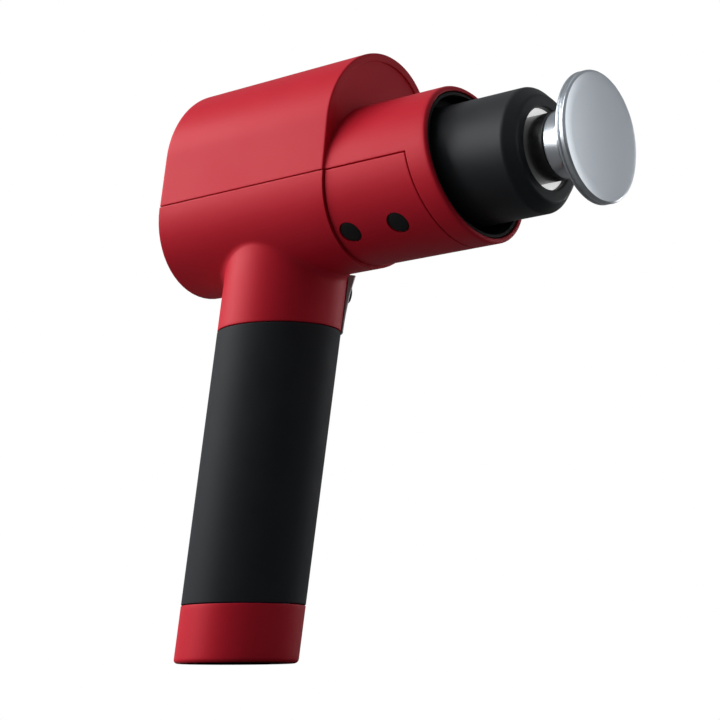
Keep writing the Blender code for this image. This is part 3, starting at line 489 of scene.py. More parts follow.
GROUND_STEEL = finish("ground_steel", GRAIN, {"Fine": 6000.0, "Broad": 260.0, "Uneven": 0.3},
                      [(0.44, 0.45, 0.48, 1.0), (0.58, 0.60, 0.62, 1.0)], (0.20, 0.34), 0.15,
                      metallic=1.0, depth=0.00002)
COPPER_WIRE = finish("copper_wire", GRAIN, {"Fine": 1500.0, "Broad": 600.0, "Uneven": 0.5},
                     [(0.55, 0.18, 0.06, 1.0), (0.80, 0.34, 0.15, 1.0)], (0.25, 0.42), 0.8,
                     metallic=1.0, depth=0.00020)
CIRCUIT_MASK = finish("circuit_mask", GRAIN, {"Fine": 1200.0, "Broad": 420.0, "Uneven": 0.5},
                      [(0.010, 0.085, 0.035, 1.0), (0.020, 0.160, 0.070, 1.0)], (0.28, 0.45), 0.3,
                      depth=0.00005)
CELL_WRAP = finish("cell_wrap", GRAIN, {"Fine": 1800.0, "Broad": 60.0, "Uneven": 0.5},
                   [(0.015, 0.075, 0.300, 1.0), (0.025, 0.110, 0.380, 1.0)], (0.26, 0.40), 0.15,
                   depth=0.00003)


# ---------------------------------------------------------------- shells

def crest_columns():
    """Places round the upper half: (height of the side or the crest's centre, angle)."""
    side = [SEAM / 2 + step for step in EDGE_STEPS]
    side += [side[-1] + (CREST_RISE - side[-1]) * (i + 1) / SIDE_STEPS for i in range(SIDE_STEPS)]
    turn = [(CREST_RISE, math.pi * (i + 1) / CREST_STEPS) for i in range(CREST_STEPS - 1)]
    return [(z, 0.0) for z in side] + turn + [(z, math.pi) for z in reversed(side)]


COLUMNS = crest_columns()


def crest_point(column, radius):
    centre, angle = column
    sunk = eased(centre - SEAM / 2)
    return Vector((0.0, (radius - sunk) * math.cos(angle), centre + (radius - sunk) * math.sin(angle)))


def crest_ring(plane, radius):
    """The upper half's section on a plane: straight sides and a round crest."""
    points = [crest_point(column, radius) for column in COLUMNS]
    return [on_plane(plane, p.y, p.z) for p in points]


def barrel_angle(column):
    """Where a column of the crest meets the barrel's round."""
    p = crest_point(column, HOUSING_RADIUS - CREST_BORDER)
    return math.atan2(p.z, p.y)


def barrel_ring(plane, radius):
    """The barrel's upper half on a plane, sunk at the seams."""
    ring = []
    for column in COLUMNS:
        angle = barrel_angle(column)
        r = radius - eased(column[0] - SEAM / 2) if column[0] < CREST_RISE else radius
        ring.append(on_plane(plane, r * math.cos(angle), r * math.sin(angle)))
    return ring


def recess(column):
    """Depth of the sunk panel at this column: it fades out where the panel meets the barrel."""
    p = crest_point(column, HOUSING_RADIUS - CREST_BORDER)
    room = (p.length - BARREL_RADIUS) / CREST_RECESS
    return CREST_RECESS * max(0.0, min(1.0, room))


def crest_face_ring(inset, depth, proud=0.0):
    """A ring on the crest's face, kept outside the barrel."""
    ring = []
    for column in COLUMNS:
        p = crest_point(column, HOUSING_RADIUS - inset)
        least = BARREL_RADIUS + proud * recess(column) / CREST_RECESS
        if p.length < least:
            angle = barrel_angle(column)
            p = Vector((0.0, math.cos(angle), math.sin(angle))) * least
        ring.append(on_plane(shift(CREST, -depth * recess(column) / CREST_RECESS), p.y, p.z))
    return ring


def barrel_root_ring(radius, lift):
    """Where the barrel's round leaves the crest's face."""
    ring = []
    for column, point in zip(COLUMNS, barrel_ring(CREST, radius)):
        ring.append(point + Vector((lift - recess(column), 0.0, 0.0)))
    return ring


def collar_rings():
    """The closed ring in front of the cover: upper places as on the barrel, then the lower round."""
    upper = [(barrel_angle(c), c[0] - SEAM / 2 if c[0] < CREST_RISE else 1.0) for c in COLUMNS]
    steps = 72
    start, end = upper[-1][0], math.tau + upper[0][0]
    lower = [(start + (end - start) * (i + 1) / (steps + 1), None) for i in range(steps)]

    def ring(plane, radius, back=None):
        points = []
        for angle, gap in upper + lower:
            sunk = 0.0
            if back is not None:
                sunk = eased(back if gap is None else max(back, gap))
            r = radius - sunk
            points.append(on_plane(plane, r * math.cos(angle), r * math.sin(angle)))
        return points

    bore = BARREL_RADIUS - BARREL_WALL
    rings = [ring(shift(COVER, step), BARREL_RADIUS, step) for step in EDGE_STEPS]
    rings += [ring(between(COVER, MOUTH, share), BARREL_RADIUS) for share in (0.3, 0.6, 0.85)]
    near = 0.0005
    rings.append(ring(shift(MOUTH, -LIP_EDGE - near), BARREL_RADIUS))
    for inset, retreat in reversed(quarter(LIP_EDGE, 6)):
        rings.append(ring(shift(MOUTH, -retreat), BARREL_RADIUS - inset))
    rings.append(ring(MOUTH, bore + near))
    for inset, retreat in quarter(SMALL_EDGE):
        rings.append(ring(shift(MOUTH, -retreat), bore + inset))
    rings.append(ring(shift(MOUTH, -SMALL_EDGE - near), bore))
    rings.append(ring(COVER, bore))
    return rings


def seam_tongue(bm, reach, start, end):
    """Thin strips behind the side seams, so that the joint shows no light."""
    for side in (-1, 1):
        for vert in bmesh.ops.create_cube(bm, size=1.0)["verts"]:
            plane = end if vert.co.x > 0 else start
            out = reach - TONGUE_THICK / 2 + vert.co.y * TONGUE_THICK
            vert.co = on_plane(plane, side * out, vert.co.z * TONGUE_HEIGHT)


def upper_shell():
    """Rear top, crest with its sunk panel, barrel top and the mouth's collar, in one closed wall."""
    rings = [crest_ring(shift(REAR, retreat), HOUSING_RADIUS - inset)
             for inset, retreat in quarter(RIM_EDGE)]
    rings.append(crest_ring(shift(REAR, RIM_EDGE + HOLD), HOUSING_RADIUS))
    rings += [crest_ring(between(REAR, CREST, share), HOUSING_RADIUS)
              for share in (0.1, 0.3, 0.5, 0.7, 0.9)]
    rings.append(crest_ring(shift(CREST, -CREST_EDGE - HOLD), HOUSING_RADIUS))
    for inset, retreat in reversed(quarter(CREST_EDGE)):
        rings.append(crest_ring(shift(CREST, -retreat), HOUSING_RADIUS - inset))
    step = ((-0.0021, 0.0), (-0.0004, 0.0), (-0.0001, 0.00003), (0.0, 0.00015),
            (0.0, 0.00045), (0.0001, 0.00057), (0.0004, CREST_RECESS))
    rings += [crest_face_ring(CREST_BORDER + inward, depth) for inward, depth in step]
    rings.append(crest_face_ring(CREST_BORDER + 0.0010, CREST_RECESS, 0.0009))
    rings += [barrel_root_ring(BARREL_RADIUS + out, lift) for out, lift in
              ((0.0004, 0.0), (0.00012, 0.00012), (0.0, 0.0004), (0.0, 0.0009))]
    rings += [barrel_ring(between(CREST, COVER, share), BARREL_RADIUS)
              for share in (0.15, 0.35, 0.55, 0.75, 0.92)]
    rings.append(barrel_ring(COVER, BARREL_RADIUS))
    bore = BARREL_RADIUS - BARREL_WALL
    inside = HOUSING_RADIUS - HOUSING_WALL
    wall_back = shift(CREST, -HOUSING_WALL)
    rings += [barrel_ring(COVER, bore), barrel_ring(wall_back, bore),
              crest_ring(wall_back, inside), crest_ring(REAR, inside)]
    bm = bmesh.new()
    loft(bm, rings, around=False)
    seal_ends(bm)
    loft(bm, collar_rings())
    bmesh.ops.remove_doubles(bm, verts=bm.verts, dist=2 * MERGE)
    doubled = [f for f in bm.faces if sum(len(e.link_faces) > 2 for e in f.edges) > 1
               and all(abs((v.co - on_plane(COVER, v.co.y, v.co.z - CROSSING.z)).x) < TOUCH
                       for v in f.verts)]
    bmesh.ops.delete(bm, geom=doubled, context="FACES_ONLY")
    behind_cover = shift(REAR, REAR_INSET + REAR_THICK + TONGUE_END)
    before_seal = (span("mouth_seal")[0] - 0.0005, 0.0)
    seam_tongue(bm, inside - TONGUE_GAP, behind_cover, shift(wall_back, -TONGUE_END))
    seam_tongue(bm, bore - TONGUE_GAP, shift(wall_back, TONGUE_END), before_seal)
    finish_piece("upper_shell_skin", bm, "housing", RED_PAINT, "upper_shell")


def barrel_cover():
    """Lower half of the barrel, between the crest's groove and the collar, with the plugs' seats."""
    first = [math.asin((SEAM / 2 + step) / BARREL_RADIUS) for step in EDGE_STEPS]
    steps = 84
    low, high = first[-1], math.pi - first[-1]
    middle = [low + (high - low) * (i + 1) / (steps + 1) for i in range(steps)]
    angles = first + middle + [math.pi - a for a in reversed(first)]

    def ring(plane, radius, back=1.0):
        points = []
        for angle in angles:
            height = BARREL_RADIUS * math.sin(angle)
            sunk = eased(min(height - SEAM / 2, back))
            r = radius - sunk
            points.append(on_plane(plane, -r * math.cos(angle), -max(r * math.sin(angle), SEAM / 2)))
        return points

    start = shift(CREST, FIT)
    end = shift(COVER, -SEAM)
    bore = BARREL_RADIUS - BARREL_WALL
    rings = [ring(shift(start, step), BARREL_RADIUS, step) for step in EDGE_STEPS]
    rings += [ring(between(start, end, i / COVER_STEPS), BARREL_RADIUS)
              for i in range(1, COVER_STEPS)]
    rings += [ring(shift(end, -step), BARREL_RADIUS, step) for step in reversed(EDGE_STEPS)]
    tongue = shift(start, -COVER_TONGUE)
    rings += [ring(end, bore), ring(tongue, bore), ring(tongue, bore + COVER_TONGUE_THICK),
              ring(start, bore + COVER_TONGUE_THICK)]
    bm = bmesh.new()
    loft(bm, rings, around=False)
    seal_ends(bm)
    cover = finish_piece("barrel_cover_skin", bm, "housing", RED_PAINT, "barrel_cover")
    seat, deep = PLUG_RADIUS + PLUG_PLAY, 0.0200
    drill = [(0.0, deep), (seat, deep), (seat, BARREL_RADIUS + 0.00015), (0.0, BARREL_RADIUS + 0.0020)]
    cut_from(cover, [lathe(drill, False, line, 64) for line in fastener_lines()])


def fastener_lines():
    """One matrix for each cover screw: Z points out through the screw from the barrel's axis."""
    lines = []
    for number in range(1, 5):
        low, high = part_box(f"screw_plug_{number}")
        centre = (low + high) / 2
        side = -1 if centre.y < 0 else 1
        out = Vector((0.0, side * math.sin(PLUG_ANGLE), -math.cos(PLUG_ANGLE)))
        turn = Vector((0.0, 0.0, 1.0)).rotation_difference(out).to_matrix().to_4x4()
        lines.append(Matrix.Translation(Vector((centre.x, 0.0, CROSSING.z))) @ turn)
    return lines


def lower_shell():
    """Bottom half of the housing, the neck with its soft fillet and the handle's core, one wall."""
    corner_front, corner_rear = math.radians(47), math.radians(51)
    turns = [-corner_front, corner_front, math.pi - corner_rear, math.pi + corner_rear,
             math.tau - corner_front]
    counts = (30, 26, 30, 26)
    spokes = []
    for edge, count in enumerate(counts):
        for i in range(count):
            share = i / count
            spokes.append((turns[edge] + (turns[edge + 1] - turns[edge]) * share, edge, share))
    limit = math.pi / 2 - math.asin(SEAM / 2 / HOUSING_RADIUS)

    def unrolled(x, swing):
        return Vector((x, swing * HOUSING_RADIUS, 0.0))

    def on_housing(place):
        swing = place.y / HOUSING_RADIUS
        return drive((place.x, HOUSING_RADIUS * math.sin(swing), -HOUSING_RADIUS * math.cos(swing)))

    def corner(index, inset):
        swing = limit - inset / HOUSING_RADIUS
        swing = -swing if index % 4 in (0, 3) else swing
        z = -HOUSING_RADIUS * math.cos(swing)
        plane, side = (CREST, -1) if index % 4 in (0, 1) else (REAR, 1)
        return unrolled(plane[0] + plane[1] * z + side * inset, swing)

    def outline(edge, share, inset):
        """A place on the housing's edge, this far in from it."""
        a, b = corner(edge, inset), corner(edge + 1, inset)
        place = a.lerp(b, share)
        if edge in (0, 2):
            plane, side = (CREST, -1) if edge == 0 else (REAR, 1)
            z = -HOUSING_RADIUS * math.cos(place.y / HOUSING_RADIUS)
            place.x = plane[0] + plane[1] * z + side * inset
        return place

    across = Vector((math.cos(RAKE), 0.0, -math.sin(RAKE)))
    along = Vector((math.sin(RAKE), 0.0, math.cos(RAKE)))

    def fillet(azimuth, share):
        """A ball of the fillet's radius rolls between the handle and the housing."""
        outward = across * math.cos(azimuth) + Vector((0.0, math.sin(azimuth), 0.0))
        reach = HANDLE_RADIUS + NECK_FILLET
        y = reach * math.sin(azimuth)
        z = -math.sqrt((HOUSING_RADIUS + NECK_FILLET) ** 2 - y ** 2)
        climb = (z + reach * math.cos(azimuth) * math.sin(RAKE)) / math.cos(RAKE)
        centre = along * climb + outward * reach
        to_axis = -Vector((0.0, centre.y, centre.z)).normalized()
        spread = (-outward).angle(to_axis)
        mix = -outward * math.sin((1 - share) * spread) + to_axis * math.sin(share * spread)
        return centre + mix / math.sin(spread) * NECK_FILLET

    core = HANDLE_RADIUS - GRIP_WALL - FIT
    azimuths = [azimuth for azimuth, _, _ in spokes]
    rings = [[along_handle(core, a, CAP_TOP + 2 * FIT) for a in azimuths],
             [along_handle(core, a, GRIP_TOP) for a in azimuths]]
    rings += [[along_handle(HANDLE_RADIUS - inset, a, GRIP_TOP + retreat) for a in azimuths]
              for inset, retreat in quarter(SEAM_EDGE, 3)]
    neck_foot = rings[-1]
    neck_top = [CROSSING + fillet(a, 0.0) for a in azimuths]
    rings += [[low.lerp(high, share) for low, high in zip(neck_foot, neck_top)]
              for share in (0.03, 0.25, 0.5, 0.75, 0.94)]
    steps = 8
    rings += [[CROSSING + fillet(a, k / steps) for a in azimuths] for k in range(steps + 1)]
    contact = [unrolled(p.x, math.atan2(p.y, -p.z)) for p in (fillet(a, 1.0) for a in azimuths)]
    border = 0.0007
    for share in (0.04, 0.12, 0.22, 0.34, 0.46, 0.58, 0.7, 0.82, 0.92, 1.0):
        rings.append([on_housing(start.lerp(outline(edge, part, border), share))
                      for start, (_, edge, part) in zip(contact, spokes)])
    for inset in (border / 2, 0.0):
        rings.append([on_housing(outline(edge, part, inset)) for _, edge, part in spokes])
    bm = bmesh.new()
    loft(bm, rings, closed=False)
    bmesh.ops.remove_doubles(bm, verts=bm.verts, dist=MERGE)
    bmesh.ops.recalc_face_normals(bm, faces=bm.faces)
    sample = max(bm.verts, key=lambda v: abs(v.co.y))
    if sample.normal.dot(sample.co - CROSSING) < 0.0:
        bmesh.ops.reverse_faces(bm, faces=bm.faces)
    rim = {v for e in bm.edges if e.is_boundary for v in e.verts}
    bmesh.ops.solidify(bm, geom=bm.faces[:], thickness=CORE_WALL)
    for vert in bm.verts:
        arm = vert.co - CROSSING
        reach = arm.yz.length
        if abs(reach - HOUSING_RADIUS + CORE_WALL) < 3 * TOUCH:
            share = (HOUSING_RADIUS - HOUSING_WALL) / reach
            vert.co = drive((arm.x, arm.y * share, arm.z * share))

    def outer_edges(wanted):
        return [e for e in bm.edges if len(e.link_faces) == 2
                and e.calc_face_angle(0.0) > math.radians(50)
                and all(v in rim and wanted(v.co - CROSSING) for v in e.verts)]

    def at_rear(p):
        return abs(p.x - REAR[0] - REAR[1] * p.z) < TOUCH

    bmesh.ops.bevel(bm, geom=outer_edges(at_rear), offset=RIM_EDGE, segments=5, profile=0.5,
                    affect="EDGES", material=-1, clamp_overlap=True)
    rim = {v for v in bm.verts if v.is_valid and not at_rear(v.co - CROSSING)
           and v.co.z > GRIP_TOP + 0.002
           and abs((v.co - CROSSING).yz.length - HOUSING_RADIUS) < TOUCH}
    bmesh.ops.bevel(bm, geom=outer_edges(lambda p: True), offset=SEAM_EDGE, segments=3,
                    profile=0.5, affect="EDGES", material=-1, clamp_overlap=True)
    finish_piece("lower_shell_skin", bm, "housing", RED_PAINT, "lower_shell")


# ---------------------------------------------------------------- handle

def grip_sleeve():
    """Soft sleeve round the handle, cut off level, with rounded outer edges."""
    bottom, top = CAP_TOP + FIT, GRIP_TOP - FIT
    support = SMALL_EDGE * 1.6
    rings = [handle_ring(HANDLE_RADIUS - inset, bottom + retreat)
             for inset, retreat in quarter(SMALL_EDGE)]
    rings.append(handle_ring(HANDLE_RADIUS, bottom + support))
    rings += [handle_ring(HANDLE_RADIUS, bottom + (top - bottom) * i / 12) for i in range(1, 12)]
    rings.append(handle_ring(HANDLE_RADIUS, top - support))
    rings += [handle_ring(HANDLE_RADIUS - inset, top - retreat)
              for inset, retreat in reversed(quarter(SMALL_EDGE))]
    rings += [handle_ring(HANDLE_RADIUS - GRIP_WALL, top), handle_ring(HANDLE_RADIUS - GRIP_WALL, bottom)]
    bm = bmesh.new()
    loft(bm, rings)
    finish_piece("grip_sleeve_skin", bm, "housing", GRIP_SILICONE, "grip_sleeve")


def jack_axis():
    """Upright axis of the charging jack, in the middle of the base."""
    low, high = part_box("charge_jack")
    return Matrix.Translation(((low.x + high.x) / 2, 0.0, 0.0))


def end_cap():
    """Red cup with a rounded foot, a flat base and the jack's opening."""
    foot, lip, floor = 0.0016, 0.00025, 0.0030
    inner = HANDLE_RADIUS - GRIP_WALL - CORE_WALL - FIT
    rings = [handle_ring(HANDLE_RADIUS - foot - 0.0010, 0.0)]
    rings += [handle_ring(HANDLE_RADIUS - inset, retreat) for inset, retreat in quarter(foot, 6)]
    rings.append(handle_ring(HANDLE_RADIUS, foot + 0.0008))
    rings += [handle_ring(HANDLE_RADIUS, foot + (CAP_TOP - foot) * share) for share in (0.3, 0.6, 0.9)]
    rings += [handle_ring(HANDLE_RADIUS - inset, CAP_TOP - retreat)
              for inset, retreat in reversed(quarter(lip))]
    rings += [handle_ring(inner, CAP_TOP), handle_ring(inner, floor)]
    bm = bmesh.new()
    loft(bm, rings, closed=False)
    seal_ends(bm)
    cap = finish_piece("end_cap_skin", bm, "housing", RED_PAINT, "end_cap")
    way, flare, past = half_width("charge_jack") + FIT, 0.0013, 0.0010
    opening = [(0.0, -past), (way + flare, -past), (way, flare - past), (way, floor + past),
               (0.0, floor + past)]
    cut_from(cap, [lathe(opening, False, jack_axis(), SMALL_ROUND)])


def charge_jack():
    """Round socket with its centre pin."""
    low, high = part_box("charge_jack")
    radius = half_width("charge_jack")
    bore, pin, tip = radius - 0.0011, 0.0009, low.z + 0.0010
    ledge = high.z - 0.0015
    outline = [(0.0, tip), (pin, tip, 0.0003), (pin, ledge, 0.0001), (bore, ledge, 0.0001),
               (bore, low.z, 0.00025), (radius, low.z, 0.0002), (radius, high.z, 0.0002),
               (0.0, high.z)]
    bm = lathe(rounded(outline), False, jack_axis(), SMALL_ROUND)
    finish_piece("charge_jack_body", bm, "housing", STEM_POLYMER, "charge_jack")


def button_place():
    """Frame of the push button: Z out of the handle, origin under the button."""
    low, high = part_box("power_button")
    centre = (low + high) / 2
    out = HANDLE_TURN.to_3x3() @ Vector((math.cos(BUTTON_AZIMUTH), math.sin(BUTTON_AZIMUTH), 0.0))
    turn = Vector((0.0, 0.0, 1.0)).rotation_difference(out).to_matrix().to_4x4()
    return Matrix.Translation(centre) @ turn


def power_button():
    """Soft-edged button with a shallow dish for the fingertip."""
    half = BUTTON_THICK / 2
    outline = [(0.0, -half), (BUTTON_RADIUS, -half, 0.0001), (BUTTON_RADIUS, half, 0.00045),
               (BUTTON_RADIUS - 0.0008, half - 0.00002, 0.0), (0.0012, half - 0.00022, 0.0),
               (0.0, half - 0.00025)]
    bm = lathe(rounded(outline), False, button_place(), SMALL_ROUND)
    finish_piece("power_button_cap", bm, "button", STEM_POLYMER, "power_button")


def thumb_panel():
    """Thin grey plate round the left of the neck, thicker upwards, with the button's hole."""
    start, end = math.radians(36.0), math.radians(94.0)
    inner = HANDLE_RADIUS + FIT
    above_grip, into_housing = 0.0025, 0.0060
    low = (GRIP_TOP + above_grip) / math.cos(RAKE)
    high = (AXIS_HEIGHT - HOUSING_RADIUS + into_housing) / math.cos(RAKE)
    thin, swell, least = 0.0005, 0.0021, 0.00012
    steps = 56

    def section(sunk):
        """The plate's cut at one azimuth: (radius, climb) points, thicker upwards."""
        points = []
        for share in [0.0, 0.02] + [0.1 * i for i in range(1, 10)] + [0.98, 1.0]:
            climb = low + (high - low) * share
            lip = eased(share * (high - low), SMALL_EDGE) if share < 0.5 else 0.0
            thick = thin + swell * share ** 2.2
            points.append((inner + max(thick - lip - sunk, least), climb))
        return points + [(inner, high), (inner, low)]

    rings = []
    for i in range(steps + 1):
        azimuth = start + (end - start) * i / steps
        near = min(i, steps - i) * (end - start) / steps * HANDLE_RADIUS
        rings.append([HANDLE_TURN @ Vector((r * math.cos(azimuth), r * math.sin(azimuth), climb))
                      for r, climb in section(eased(near, SMALL_EDGE))])
    bm = bmesh.new()
    loft(bm, rings, closed=False)
    seal_ends(bm)
    panel = finish_piece("thumb_panel_plate", bm, "housing", GREY_TRIM, "thumb_panel")
    reach = 0.01
    hole = lathe([(0.0, -reach), (BUTTON_RADIUS + FIT, -reach), (BUTTON_RADIUS + FIT, reach),
                  (0.0, reach)], False, button_place(), SMALL_ROUND)
    length = CREST_X - REAR_X
    housing = lathe([(0.0, REAR_X - length), (HOUSING_RADIUS + FIT, REAR_X - length),
                     (HOUSING_RADIUS + FIT, CREST_X + length), (0.0, CREST_X + length)], False,
                    BARREL_AXIS, 160)
    cut_from(panel, [hole, housing])


# ---------------------------------------------------------------- rear

def rear_plane(inward):
    """A plane this far inside the rear cover's face."""
    return shift(REAR, REAR_INSET + inward)


def cover_ring(radius, inward):
    """The housing's section: two half rounds joined by straight sides."""
    steps = 56
    turns = [math.pi * i / steps for i in range(steps + 1)]
    top = [(radius * math.cos(a), CREST_RISE + radius * math.sin(a)) for a in turns]
    bottom = [(-radius * math.cos(a), -radius * math.sin(a)) for a in turns]
    return [on_plane(rear_plane(inward), y, z) for y, z in top + bottom]


def lens_ring(radius, inward):
    """A full round about the middle of the rear face."""
    steps, centre = 96, CREST_RISE / 2
    turns = [math.tau * i / steps for i in range(steps)]
    return [on_plane(rear_plane(inward), radius * math.cos(a), centre + radius * math.sin(a))
            for a in turns]


def rear_cover():
    """Capsule plate with rounded edges and a stepped round pocket for the lens."""
    radius = HOUSING_RADIUS - HOUSING_WALL - FIT
    edge = 0.0004
    rings = [cover_ring(radius - 2 * edge, 0.0)]
    rings += [cover_ring(radius - inset, retreat) for inset, retreat in quarter(edge)]
    rings += [cover_ring(radius, 2 * edge), cover_ring(radius, REAR_THICK)]
    bm = bmesh.new()
    loft(bm, rings, closed=False)
    seal_ends(bm)
    cover = finish_piece("rear_cover_plate", bm, "housing", REAR_POLYMER,
                         "rear_cover")
    seat = LENS_RADIUS + FIT
    pocket = bmesh.new()
    loft(pocket, [lens_ring(seat + 0.0006, -0.0006), lens_ring(seat, 0.0003),
                  lens_ring(seat, LENS_THICK + FIT)], closed=False)
    seal_ends(pocket)
    cut_from(cover, [pocket])


def display_lens():
    """Round black glass with a bevelled rim."""
    edge = 0.00035
    rings = [lens_ring(LENS_RADIUS - 0.0010, 0.0), lens_ring(LENS_RADIUS - 0.0005, 0.00002)]
    rings += [lens_ring(LENS_RADIUS - inset, retreat) for inset, retreat in quarter(edge)]
    rings += [lens_ring(LENS_RADIUS, 2 * edge), lens_ring(LENS_RADIUS, LENS_THICK)]
    bm = bmesh.new()
    loft(bm, rings, closed=False)
    seal_ends(bm)
    finish_piece("display_lens_glass", bm, "housing", GLASS_BLACK, "display_lens")


# ---------------------------------------------------------------- mouth, nose and head

def mouth_seal():
    """Black liner inside the mouth, with its web and a soft lip at the nose."""
    radius = BARREL_RADIUS - BARREL_WALL - FIT
    wall, web_thick, sunk = 0.0013, 0.0020, 0.0005
    inside = radius - wall
    hole = half_width("nose_sleeve") + FIT
    back = (span("mouth_seal")[0], 0.0)
    web = shift(back, web_thick)
    front = shift(MOUTH, -sunk)
    edge = quarter(SMALL_EDGE, 3)
    rings = [barrel_round(radius, back), barrel_round(radius, between(back, front, 0.5)),
             barrel_round(radius, shift(front, -2 * SMALL_EDGE))]
    rings += [barrel_round(radius - inset, shift(front, -retreat)) for inset, retreat in reversed(edge)]
    rings += [barrel_round(inside + inset, shift(front, -retreat)) for inset, retreat in edge]
    rings += [barrel_round(inside, shift(front, -0.0007)), barrel_round(inside, shift(web, 0.0012)),
              barrel_round(inside - 0.0004, shift(web, 0.0003)), barrel_round(inside - 0.0012, web),
              barrel_round(hole + 0.0006, web), barrel_round(hole, shift(web, -0.0004)),
              barrel_round(hole, back)]
    bm = bmesh.new()
    loft(bm, rings)
    finish_piece("mouth_seal_liner", bm, "housing", SOFT_RUBBER, "mouth_seal")


def nose_sleeve():
    """Black sleeve round the stem, with a chamfered front and a lip round its bore."""
    low, high = span("nose_sleeve")
    radius = half_width("nose_sleeve")
    inside, lip = radius - 0.0016, 0.0025
    chamfer_long, chamfer_deep = 0.0040, 0.0036
    outline = [(inside, low, 0.0003), (radius, low, 0.0004), (radius, high - chamfer_long, 0.0020),
               (radius - chamfer_deep, high, 0.0016), (NOSE_BORE, high, 0.0007),
               (NOSE_BORE, high - lip, 0.0002), (inside, high - lip, 0.0002)]
    bm = lathe(closed_round(outline), True, BARREL_AXIS)
    finish_piece("nose_sleeve_shell", bm, "housing", NOSE_POLYMER, "nose_sleeve")


def guide_bush():
    """White collar in the nose, whose mouth opens like a funnel; its finish carries a painted glow that
    lights the funnel in the shaded bore.
    """
    low, high = span("guide_bush")
    collar = half_width("guide_bush")
    guide, body, funnel = STEM_RADIUS + 0.0004, 0.0171, 0.0066
    step = span("drive_frame")[1] + FIT
    outline = [(guide, low, 0.0003), (body, low, 0.0003), (body, step, 0.0001), (collar, step, 0.0002),
               (collar, high, 0.0002), (NOSE_BORE, high, 0.0003), (guide, high - funnel, 0.0008)]
    bm = lathe(closed_round(outline), True, BARREL_AXIS)
    finish_piece("guide_bush_ring", bm, "housing", GLOWING_WHITE_POLYMER, "guide_bush")


def head_stem():
    """Black stem with its grooved spigot, collar and the peg's socket."""
    low, high = span("head_stem")
    collar = span("piston")[1] + FIT
    groove, half_groove = SPIGOT_RADIUS - 0.0018, 0.0012
    outline = [(0.0, low), (SPIGOT_RADIUS, low, 0.0008)]
    for x in O_RING_PLACES:
        start, end = x - half_groove, x + half_groove
        outline += [(SPIGOT_RADIUS, start, 0.0001), (groove, start, 0.0001), (groove, end, 0.0001),
                    (SPIGOT_RADIUS, end, 0.0001)]
    socket, floor = PEG_RADIUS + FIT, high - 0.0083
    outline += [(SPIGOT_RADIUS, collar, 0.0003), (STEM_RADIUS, collar, 0.0005),
                (STEM_RADIUS, high, 0.0004), (socket, high, 0.0001), (socket, floor, 0.0001),
                (0.0, floor)]
    bm = lathe(rounded(outline), False, BARREL_AXIS)
    finish_piece("head_stem_body", bm, "head", STEM_POLYMER, "head_stem")


def o_rings():
    """Two rubber rings in the spigot's grooves."""
    thick, steps = 0.0008, 16
    centre = SPIGOT_RADIUS - thick
    turns = [math.tau * i / steps for i in range(steps)]
    for number in (1, 2):
        x = sum(span(f"o_ring_{number}")) / 2
        section = [(centre + thick * math.cos(a), x + thick * math.sin(a)) for a in turns]
        bm = lathe(section, True, BARREL_AXIS, 96)
        finish_piece(f"o_ring_{number}_seal", bm, "head", SOFT_RUBBER,
                     f"o_ring_{number}", sharp=60.0)


def head_disc():
    """Turned disc: peg, concave neck, thin back edge, rim groove, front edge and domed face."""
    back_all, front_all = span("head_disc")
    radius = half_width("head_disc")
    start, dome, thick = span("head_stem")[1] + FIT, 0.0005, 0.0038
    front = front_all - dome
    back = front - thick
    flare, flare_place, sweep, steps = 0.0080, back - 0.0085, math.pi * 0.44, 14
    turns = [math.pi - sweep * k / steps for k in range(steps + 1)]
    groove = radius - 0.0006
    outline = [(0.0, back_all), (PEG_RADIUS, back_all, 0.0006), (PEG_RADIUS, start, 0.0001),
               (STEM_RADIUS, start, 0.0003), (STEM_RADIUS, start + 0.0012, 0.0)]
    outline += [(STEM_RADIUS + flare + flare * math.cos(a), flare_place + flare * math.sin(a), 0.0)
                for a in turns]
    outline += [(groove, back, 0.0), (radius, back + 0.0004, 0.0003), (radius, back + 0.0010, 0.0002),
                (groove, back + 0.0012, 0.0001), (groove, back + 0.0017, 0.0002),
                (radius, back + 0.0019, 0.0002), (radius, front - 0.0006, 0.0004),
                (radius - 0.0008, front - 0.0001, 0.0004)]
    outline += [(radius * k / 10, front_all - dome * (k / 10) ** 2, 0.0) for k in range(9, 0, -1)]
    outline.append((0.0, front_all))
    bm = lathe(rounded(outline), False, BARREL_AXIS)
    finish_piece("head_disc_turned", bm, "head", DISC_METAL, "head_disc")


# ---------------------------------------------------------------- fasteners

def fasteners():
    """Domed rubber plugs over pan-head screws with a hexagon recess."""
    top, radius = math.sqrt(BARREL_RADIUS ** 2 - PLUG_RADIUS ** 2), PLUG_RADIUS - PLUG_PLAY
    plug = [(0.0, top - 0.0016), (radius, top - 0.0016, 0.0002), (radius, top - 0.0001, 0.00035),
            (radius * 0.6, top + 0.00012, 0.0), (radius * 0.3, top + 0.00018, 0.0),
            (0.0, top + 0.0002)]
    boss_depth, head, shank, low = 0.0050, 0.0030, 0.0014, 0.0180
    seat = BARREL_RADIUS - boss_depth + FIT
    high = seat + 0.0016
    screw = [(0.0, low), (shank, low, 0.0003), (shank, seat, 0.0001), (head, seat, 0.0002),
             (head, high, 0.0006), (0.0, high)]
    for number, line in enumerate(fastener_lines(), start=1):
        bm = lathe(rounded(plug), False, line, SMALL_ROUND)
        finish_piece(f"screw_plug_{number}_cap", bm, "housing", SOFT_RUBBER,
                     f"screw_plug_{number}")
        bm = lathe(rounded(screw), False, line, 48)
        pan = finish_piece(f"cover_screw_{number}_pan", bm, "housing", GROUND_STEEL,
                           f"cover_screw_{number}")
        key = bmesh.new()
        bmesh.ops.create_cone(key, cap_ends=True, segments=6, radius1=0.0012, radius2=0.0012,
                              depth=0.0018, matrix=line @ Matrix.Translation((0.0, 0.0, high)))
        cut_from(pan, [key])


# ---------------------------------------------------------------- inner pieces

